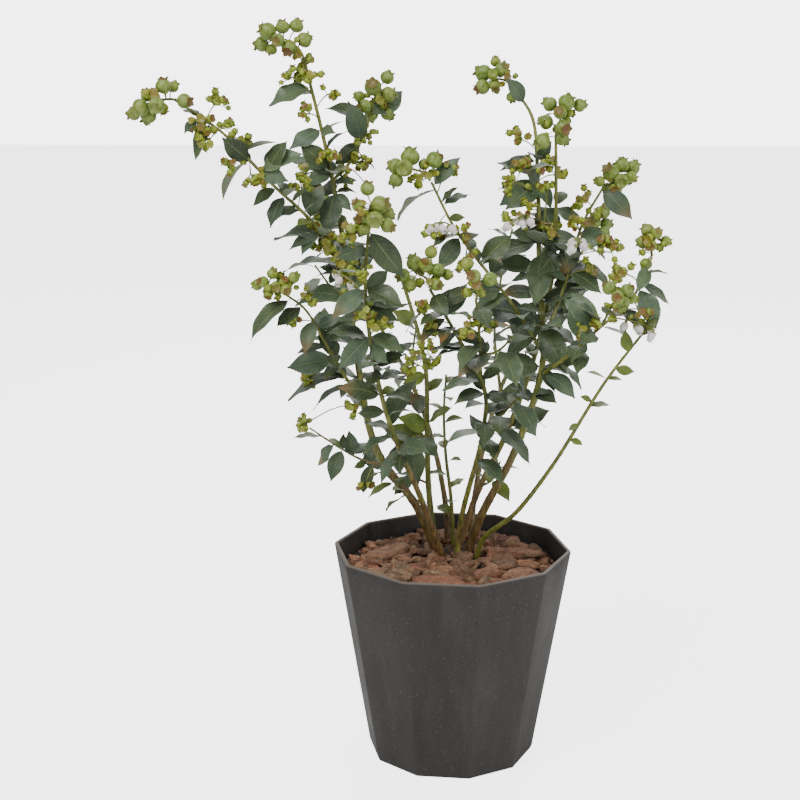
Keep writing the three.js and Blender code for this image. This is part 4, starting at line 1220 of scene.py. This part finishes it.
CLUSTERS = {
    "berries_top_left": {
        "stalk": [(-145, 42, 688), (-150, 42, 702), (-166, 42, 714)],
        "berries": [
            (-181, 40, 720, 8), (-188, 50, 708, 7), (-167, 44, 724, 6.5), (-154, 48, 725, 6.5),
            (-146, 42, 712, 7), (-160, 34, 705, 7), (-170, 29, 712, 6), (-178, 46, 703, 5),
        ],
    },
    "berries_far_left": {
        "stalk": [(-258, -52, 660), (-266, -52, 660), (-280, -53, 657)],
        "berries": [
            (-267, -54, 672, 7), (-284, -46, 663, 5.5), (-288, -58, 653, 7.5), (-272, -65, 655, 7),
            (-296, -50, 647, 6), (-283, -48, 645, 7), (-247, -62, 659, 6.5), (-260, -44, 671, 5),
        ],
    },
    "berries_upper_left": {
        "stalk": [(-84, 107, 639), (-83, 109, 648), (-80, 112, 660)],
        "berries": [
            (-83, 104, 665, 8), (-69, 114, 674, 6.5), (-68, 112, 657, 7.5), (-97, 112, 655, 5.5),
            (-91, 102, 646, 6.5), (-74, 125, 647, 6), (-85, 112, 637, 6.5), (-69, 116, 638, 6.5),
        ],
    },
    "berries_left_inner": {
        "stalk": [(-76, -118, 557), (-76, -119, 564), (-74, -120, 573)],
        "berries": [
            (-77, -121, 586, 6), (-85, -120, 571, 5.5), (-66, -122, 572, 7.5), (-80, -124, 562, 6),
            (-70, -133, 560, 7), (-60, -108, 563, 6), (-59, -126, 554, 6), (-81, -120, 551, 6.5),
        ],
    },
    "berries_centre": {
        "stalk": [(-23, -20, 583), (-28, -20, 590), (-46, -20, 596)],
        "berries": [
            (-56, -20, 597, 7), (-42, -18, 605, 8.5), (-47, -30, 596, 7.5), (-55, -20, 584, 6.5),
            (-29, -14, 598, 5), (-19, -22, 603, 7.5),
        ],
    },
    "berries_middle": {
        "stalk": [(-22, -92, 493), (-24, -90, 500), (-36, -90, 508)],
        "berries": [
            (-36, -88, 515, 7), (-25, -92, 513, 6), (-46, -96, 505, 6), (-40, -94, 496, 6),
            (-15, -90, 509, 6), (-6, -84, 504, 5), (-16, -98, 497, 5.5), (-21, -88, 525, 5.5),
        ],
    },
    "berries_front": {
        "stalk": [(20, -121, 487), (21, -121, 494), (19, -120, 503)],
        "berries": [
            (18, -126, 509, 6), (32, -122, 506, 6), (12, -118, 519, 5.5),
        ],
    },
    "berries_right_top": {
        "stalk": [(55, 88, 667), (50, 90, 672), (36, 90, 674)],
        "berries": [
            (28, 94, 679, 8), (40, 96, 690, 5), (46, 84, 683, 6.5), (37, 80, 678, 5), (27, 86, 666, 7),
            (39, 84, 668, 5.5), (56, 90, 656, 5),
        ],
    },
    "berries_right_tall": {
        "stalk": [(96, 8, 623), (96, 6, 628), (104, 6, 650)],
        "berries": [
            (90, 8, 653, 6.5), (105, 4, 655, 7.5), (118, 12, 652, 6), (99, -2, 646, 6),
            (87, 12, 636, 6.5), (102, -2, 632, 7), (102, 10, 621, 6.5), (83, 0, 619, 7),
        ],
    },
    "berries_far_right": {
        "stalk": [(148, 58, 571), (156, 60, 574), (170, 60, 584)],
        "berries": [
            (154, 56, 584, 8), (165, 62, 591, 7), (176, 68, 588, 7), (174, 56, 580, 5.5),
            (164, 50, 577, 6.5), (159, 60, 569, 7), (152, 73, 568, 5), (143, 54, 576, 5),
        ],
    },
    "berries_right_side": {
        "stalk": [(186, -34, 515), (186, -30, 520), (190, -30, 536)],
        "berries": [
            (182, -26, 538, 6), (190, -32, 536, 5), (199, -28, 528, 5), (178, -26, 527, 6),
            (185, -36, 525, 5), (181, -32, 507, 5.5),
        ],
    },
    "berries_right_front": {
        "stalk": [(140, -47, 451), (145, -80, 474), (148, -108, 488)],
        "berries": [
            (140, -106, 496, 6), (146, -123, 490, 5.5), (156, -108, 494, 6), (152, -114, 484, 6),
            (161, -102, 486, 5),
        ],
    },
    "berries_mid_left": {
        "stalk": [(-156, -65, 482), (-158, -70, 488), (-172, -70, 492)],
        "berries": [
            (-183, -68, 491, 5), (-176, -76, 495, 5), (-168, -72, 502, 5), (-165, -76, 490, 5),
            (-173, -64, 484, 5), (-158, -68, 493, 5), (-155, -78, 488, 5), (-148, -74, 499, 5),
        ],
    },
    "berries_back_left": {
        "stalk": [(-136, 178, 505), (-137, 179, 516), (-140, 181, 528)],
        "berries": [
            (-128, 186, 520, 6.5), (-146, 172, 518, 7), (-136, 174, 534, 7), (-148, 186, 530, 6.5),
            (-131, 188, 535, 6), (-141, 180, 544, 7), (-129, 175, 527, 5),
        ],
    },
    "berries_back_right": {
        "stalk": [(142, 172, 497), (148, 174, 510), (154, 174, 520)],
        "berries": [
            (144, 182, 516, 6.5), (158, 166, 510, 7), (148, 166, 522, 7), (162, 180, 518, 6.5),
            (154, 184, 528, 6), (158, 172, 532, 7), (140, 170, 508, 5),
        ],
    },
}


def berry_skin():
    """Pale green skin with a cloudy bloom, brown-red at the tips of the crown."""
    material, nodes, links, shader = new_finish("unripe berry skin", 0.5)
    piece = grown(nodes, 210, 900)
    clouds, dusting = piece["Clouds"], piece["Grain"]
    green = colour_steps(nodes, links, clouds, [(0.35, paint(84, 112, 20)), (0.65, paint(120, 142, 40))])
    olive = colour_steps(nodes, links, clouds, [(0.35, paint(104, 120, 26)), (0.65, paint(138, 146, 52))])
    body = mixed(nodes, links, piece["Second Tone"], green, olive)
    bloom = spread(nodes, links, worked_out(nodes, links, "MULTIPLY_ADD", dusting, 0.4, clouds), 0.5, 0.9,
        0, 0.42)
    body = mixed(nodes, links, bloom, body, paint(158, 176, 112))
    fresh = colour_steps(nodes, links, clouds, [(0.35, paint(132, 150, 22)), (0.65, paint(170, 180, 58))])
    body = mixed(nodes, links, piece["Third Tone"], body, fresh)
    body = mixed(nodes, links, piece["First Tone"], body, paint(112, 56, 30))
    links.new(body, shader.inputs["Base Color"])
    links.new(spread(nodes, links, bloom, 0, 0.5, 0.36, 0.6), shader.inputs["Roughness"])
    raise_surface(nodes, links, shader, dusting, 0.1 * MM, 0.25)
    return material


def fruit(berries, centre, direction, radius, dice, sides=20, flare=1.0, young=0):
    """A round fruit that ends, towards direction, in a crown of five lobes round a pit."""
    across = direction.orthogonal().normalized()
    up = direction.cross(across)
    squat = dice.uniform(0.86, 0.95)
    olive = dice.uniform(0, 0.7)
    blush = dice.uniform(0.35, 1) if dice.random() < 0.8 else 0.1
    sections = [(math.sin(t), -math.cos(t) * squat, 0, 0) for t in (math.pi * k / 11 for k in range(1, 9))]
    sections += [(0.58, 0.78, 0.1, 0.15), (0.56 * flare, 0.9, 0.45, 0.45), (0.7 * flare, 1.12, 1.0, 0.9)]
    sections += [(0.6 * flare, 1.08, 1.0, 0.95), (0.46, 0.86, 0.3, 0.7), (0.38, 0.78, 0, 0.85),
        (0.1, 0.74, 0, 1.0)]
    row = None
    for share, height, lobed, brown in sections:
        points = []
        for i in range(sides):
            angle = math.tau * i / sides
            lobe = 0.5 + 0.5 * math.cos(5 * angle)
            width = radius * share * (1 + 0.22 * lobed * lobe - 0.1 * lobed)
            rise = radius * (height - (0.24 * lobed * (1 - lobe) if lobed else 0))
            points.append(centre + (across * math.cos(angle) + up * math.sin(angle)) * width + direction * rise)
        next_row = berries.ring(points, [(i / sides, height) for i in range(sides)],
            (brown * blush, olive, young))
        if row:
            berries.strip(row, next_row)
        else:
            berries.cap(next_row[::-1])
        row = next_row
    berries.cap(row)


def pedicel(surface, start, end, radius, bend=0.1, tone=(0.1, 0, 0), finish=0):
    """A short thin stalk between two points, bowed a little upwards."""
    middle = (start + end) / 2 + UP * bend * (end - start).length
    path = Route([point / MM for point in (start, middle, end)])
    tube(surface, path, lambda share: radius * (1 + 0.35 * share ** 2), 6, 5, tone, finish=finish)


berry_finish = berry_skin()
for number, (name, cluster) in enumerate(CLUSTERS.items()):
    dice = random.Random(300 + number)
    bunch = Surface()
    stem = Route(cluster["stalk"])
    feet = [stem.at(share / 6) for share in range(7)]
    heart = sum((Vector(berry[:3]) * MM for berry in cluster["berries"]),
        Vector()) / len(cluster["berries"])
    tube(bunch, stem, lambda share: 1.3 * MM - 0.4 * MM * share, 8, 10, (0.3, 0, 0), 0, 0.95, finish=1)
    for x, y, z, radius in cluster["berries"]:
        middle = Vector((x, y, z)) * MM
        foot = min(feet, key=lambda place: (place - middle).length)
        outward = (middle - heart).normalized() * 1.0 + (middle - foot).normalized()
        outward += Vector((dice.gauss(0, 0.3), dice.gauss(-0.25, 0.3), dice.gauss(0, 0.3)))
        pointing = outward.normalized()
        size = radius * MM
        fruit(bunch, middle, pointing, size * 1.1, dice, young=0.25 if radius < 5.6 else 0)
        if (foot - middle).length > size:
            pedicel(bunch, foot, middle - pointing * size * 0.8, 0.6 * MM, finish=1)
    for extra in range(12):
        share = dice.uniform(0.1, 1)
        around = Quaternion(stem.heading(share),
            dice.uniform(0, math.tau)) @ stem.heading(share).orthogonal()
        out = (around.normalized() + UP * dice.uniform(-0.5, 0.5)).normalized()
        end = stem.at(share) + out * dice.uniform(5, 12) * MM
        fruit(bunch, end, out, dice.uniform(2.4, 4.2) * MM, dice, 15, 1.5, young=dice.uniform(0.5, 1))
        pedicel(bunch, stem.at(share), end - out * 2 * MM, 0.4 * MM, finish=1)
    bunch.piece(name + "_fruit", [berry_finish, bark_finish], "berry", [name])


# ---- The spurs ----------------------------------------------------------------------------------
# Along the stems stand short spurs of fruit that has only just set: green beads a few millimetres
# across, each with a starry brown-tipped crown where its flower has dropped.

SPURS = {
    "cane_left_tall": [
        (0.36, -150, 0, 340), (0.36, -100, -5, 360), (0.46, -145, 0, 385), (0.58, -105, 0, 480),
        (0.64, -112, 0, 500, 12), (0.68, -122, 8, 520, 11), (0.7, -140, 15, 527, 12),
        (0.76, -110, 45, 585), (0.8, -150, 25, 585, 9), (0.8, -125, 25, 605), (0.9, -145, 30, 645),
        (0.92, -120, 35, 665), (0.96, -143, 36, 678, 9), (0.94, -160, 32, 680, 9),
    ],
    "cane_left_inner": [
        (0.72, -65, -105, 460, 9), (0.8, -80, -110, 470), (0.92, -85, -120, 510),
        (0.98, -95, -125, 545, 9),
    ],
    "cane_centre": [
        (0.6, -40, 10, 400, 10), (0.66, -25, 5, 415), (0.68, -20, 25, 400),
    ],
    "cane_middle": [
        (0.88, -20, -90, 460), (0.94, -30, -90, 475),
    ],
    "cane_right_tall": [
        (0.6, 90, 20, 575), (0.68, 95, 35, 530, 9), (0.72, 55, 30, 540, 9), (0.74, 70, 30, 550),
        (0.76, 55, 40, 580, 10), (0.8, 105, 50, 585, 8.5), (0.8, 92, 55, 596), (0.82, 68, 45, 592, 11),
        (0.86, 60, 60, 620, 9),
    ],
    "branch_far_left": [
        (0.36, -145, -5, 580), (0.56, -180, -35, 585), (0.64, -190, -40, 585), (0.66, -210, -45, 600),
        (0.66, -195, -30, 620), (0.8, -210, -40, 635), (0.8, -230, -55, 620, 8.5),
        (0.86, -220, -40, 660, 9), (0.88, -232, -55, 635, 10),
    ],
    "branch_upper_left": [
        (0.54, -100, 70, 600), (0.56, -90, 75, 590), (0.88, -90, 90, 615, 9),
    ],
    "branch_mid_left": [
        (0.72, -150, -55, 455), (0.92, -135, -65, 480),
    ],
    "branch_low_left": [
        (0.16, -90, 15, 270),
    ],
    "branch_centre": [
        (0.66, 10, -30, 505, 9), (0.72, 10, -30, 535), (0.84, -20, -30, 535, 9), (0.94, -6, -15, 596),
    ],
    "branch_right_low": [
        (0.5, 124, -55, 450, 9), (0.68, 190, -40, 460, 6), (0.76, 175, -60, 460),
        (0.84, 155, -55, 505, 9),
    ],
    "branch_right_upper": [
        (0.4, 135, 25, 495, 9), (0.52, 160, 30, 510), (0.58, 100, 45, 525, 9), (0.6, 148, 30, 517, 9),
        (0.68, 120, 35, 540), (0.76, 140, 50, 545), (0.86, 124, 45, 562, 8.5),
    ],
    "branch_front": [
        (0.56, 25, -105, 465, 9), (0.68, 10, -110, 460),
    ],
}

SPUR_SIZE = 7.5

for number, name in enumerate(SPURS):
    dice = random.Random(500 + number)
    beads = Surface()
    route = routes[name]
    for share, x, y, z, *own in SPURS[name]:
        size = (own[0] if own else SPUR_SIZE) * MM
        base, middle = route.at(share), Vector((x, y, z)) * MM
        away = (middle - base).normalized()
        fork = middle - away * size * 0.8
        pedicel(beads, base, fork, 0.6 * MM, finish=1)
        for bead in range(round(size / MM) + 1):
            out = Vector((dice.gauss(0, 1), dice.gauss(0, 1), dice.gauss(0, 1))).normalized()
            out = (out + away * 0.8).normalized()
            end = fork + out * dice.uniform(0.6, 1.5) * size
            radius = dice.uniform(2.3, 3.6) * MM * (size / MM / SPUR_SIZE) ** 0.5
            fruit(beads, end, out, radius, dice, 15, 1.5, young=dice.uniform(0.4, 1))
            pedicel(beads, fork, end - out * radius * 0.7, 0.4 * MM, finish=1)
    beads.piece(f"spurs_of_{name}", [berry_finish, bark_finish], "berry", [name])


# ---- The flowers --------------------------------------------------------------------------------
# The last flowers hang in short sprays: waxy white bells, pinched at the mouth with five small
# turned-out lobes, each under a green and red cap on a thin drooping stalk.

BELL_RADIUS = 3.9 * MM
BELL_LENGTH = 9.5 * MM
SPRAYS = {
    "flowers_left_inner": {"bells": 5, "stalk": [(-79, -98, 474), (-88, -84, 492), (-112, -70, 506)]},
    "flowers_centre": {"bells": 5, "stalk": [(2, -21, 537), (-8, -40, 546), (-18, -58, 548)]},
    "flowers_right": {"bells": 5, "stalk": [(80, 44, 536), (68, 12, 548), (56, -14, 544)]},
    "flowers_right_upper": {"bells": 5, "stalk": [(122, 42, 522), (120, 10, 526), (118, -10, 522)]},
    "flowers_far_right": {"bells": 5, "stalk": [(150, -50, 459), (172, -62, 456), (186, -76, 452)]},
}


def petal_wax():
    """White petals with a faint green and pink cast near the cap."""
    material, nodes, links, shader = new_finish("white petals", 0.42)
    piece = grown(nodes, 120, 500, (1, 1, 0.3))
    ribs = piece["Grain"]
    body = colour_steps(nodes, links, ribs, [(0.35, paint(232, 228, 220)), (0.65, paint(250, 248, 244))])
    body = mixed(nodes, links, piece["First Tone"], body, paint(214, 196, 168))
    links.new(body, shader.inputs["Base Color"])
    shader.inputs["Sheen Weight"].default_value = 0.15
    raise_surface(nodes, links, shader, ribs, 0.2 * MM, 0.3)
    return material


def bell(flowers, top, drop, dice):
    """One flower that hangs from top along drop."""
    across = drop.orthogonal().normalized()
    up = drop.cross(across)
    size = dice.uniform(0.85, 1.12)
    outside = [(0.25, 0), (0.62, 0.06), (0.88, 0.2), (1, 0.42), (0.94, 0.62), (0.72, 0.8), (0.56, 0.88),
        (0.66, 0.96), (0.84, 1.0)]
    inside = [(0.6, 0.94), (0.48, 0.86), (0.6, 0.74), (0.5, 0.5), (0.1, 0.4)]
    row = None
    for share, level in outside + inside:
        points = []
        for i in range(20):
            angle = math.tau * i / 20
            lobe = 1 + (0.16 * math.cos(5 * angle) if level > 0.93 else 0.035 * math.cos(5 * angle))
            width = BELL_RADIUS * size * share * lobe
            point = top + drop * (BELL_LENGTH * size * level)
            points.append(point + (across * math.cos(angle) + up * math.sin(angle)) * width)
        next_row = flowers.ring(points, [(i / 20, level) for i in range(20)],
            (max(0, 0.5 - 2.5 * level), 0, 0))
        if row:
            flowers.strip(row, next_row)
        else:
            flowers.cap(next_row[::-1])
        row = next_row
    flowers.cap(row)
    row = None
    for share, level, brown in ((0.15, -0.22, 0.1), (0.36, -0.16, 0.1), (0.5, -0.02, 0.3), (0.66, 0.1, 0.8),
            (0.5, 0.06, 0.6), (0.2, 0.02, 0.3)):
        points = []
        for i in range(20):
            angle = math.tau * i / 20
            lobe = 1 + (0.3 * math.cos(5 * angle + 0.6) if level > 0.05 else 0)
            point = top + drop * (BELL_LENGTH * size * level)
            points.append(point + (across * math.cos(angle) + up * math.sin(angle)) * BELL_RADIUS * size * share * lobe)
        next_row = flowers.ring(points, [(i / 20, level) for i in range(20)], (brown, 0.4, 0))
        if row:
            flowers.strip(row, next_row, 1)
        else:
            flowers.cap(next_row[::-1], 1)
        row = next_row
    flowers.cap(row, 1)


petals = petal_wax()
for number, (name, spray) in enumerate(SPRAYS.items()):
    dice = random.Random(700 + number)
    flowers = Surface()
    stem = Route(spray["stalk"])
    tube(flowers, stem, lambda share: 0.8 * MM, 8, 12, (0.3, 0, 0), finish=2)
    for i in range(spray["bells"]):
        share = 0.3 + 0.68 * i / (spray["bells"] - 1)
        across = stem.heading(share).cross(UP).normalized() * (0.9 if i % 2 else -0.9)
        drop = -(across + UP + Vector((dice.gauss(0, 0.2), dice.gauss(0, 0.2), 0))).normalized()
        top = stem.at(share) + drop * 3 * MM
        pedicel(flowers, stem.at(share), top - drop * 1.5 * MM, 0.5 * MM, finish=2)
        bell(flowers, top, drop, dice)
    flowers.piece(name + "_bells", [petals, berry_finish, bark_finish], "flower", [name])
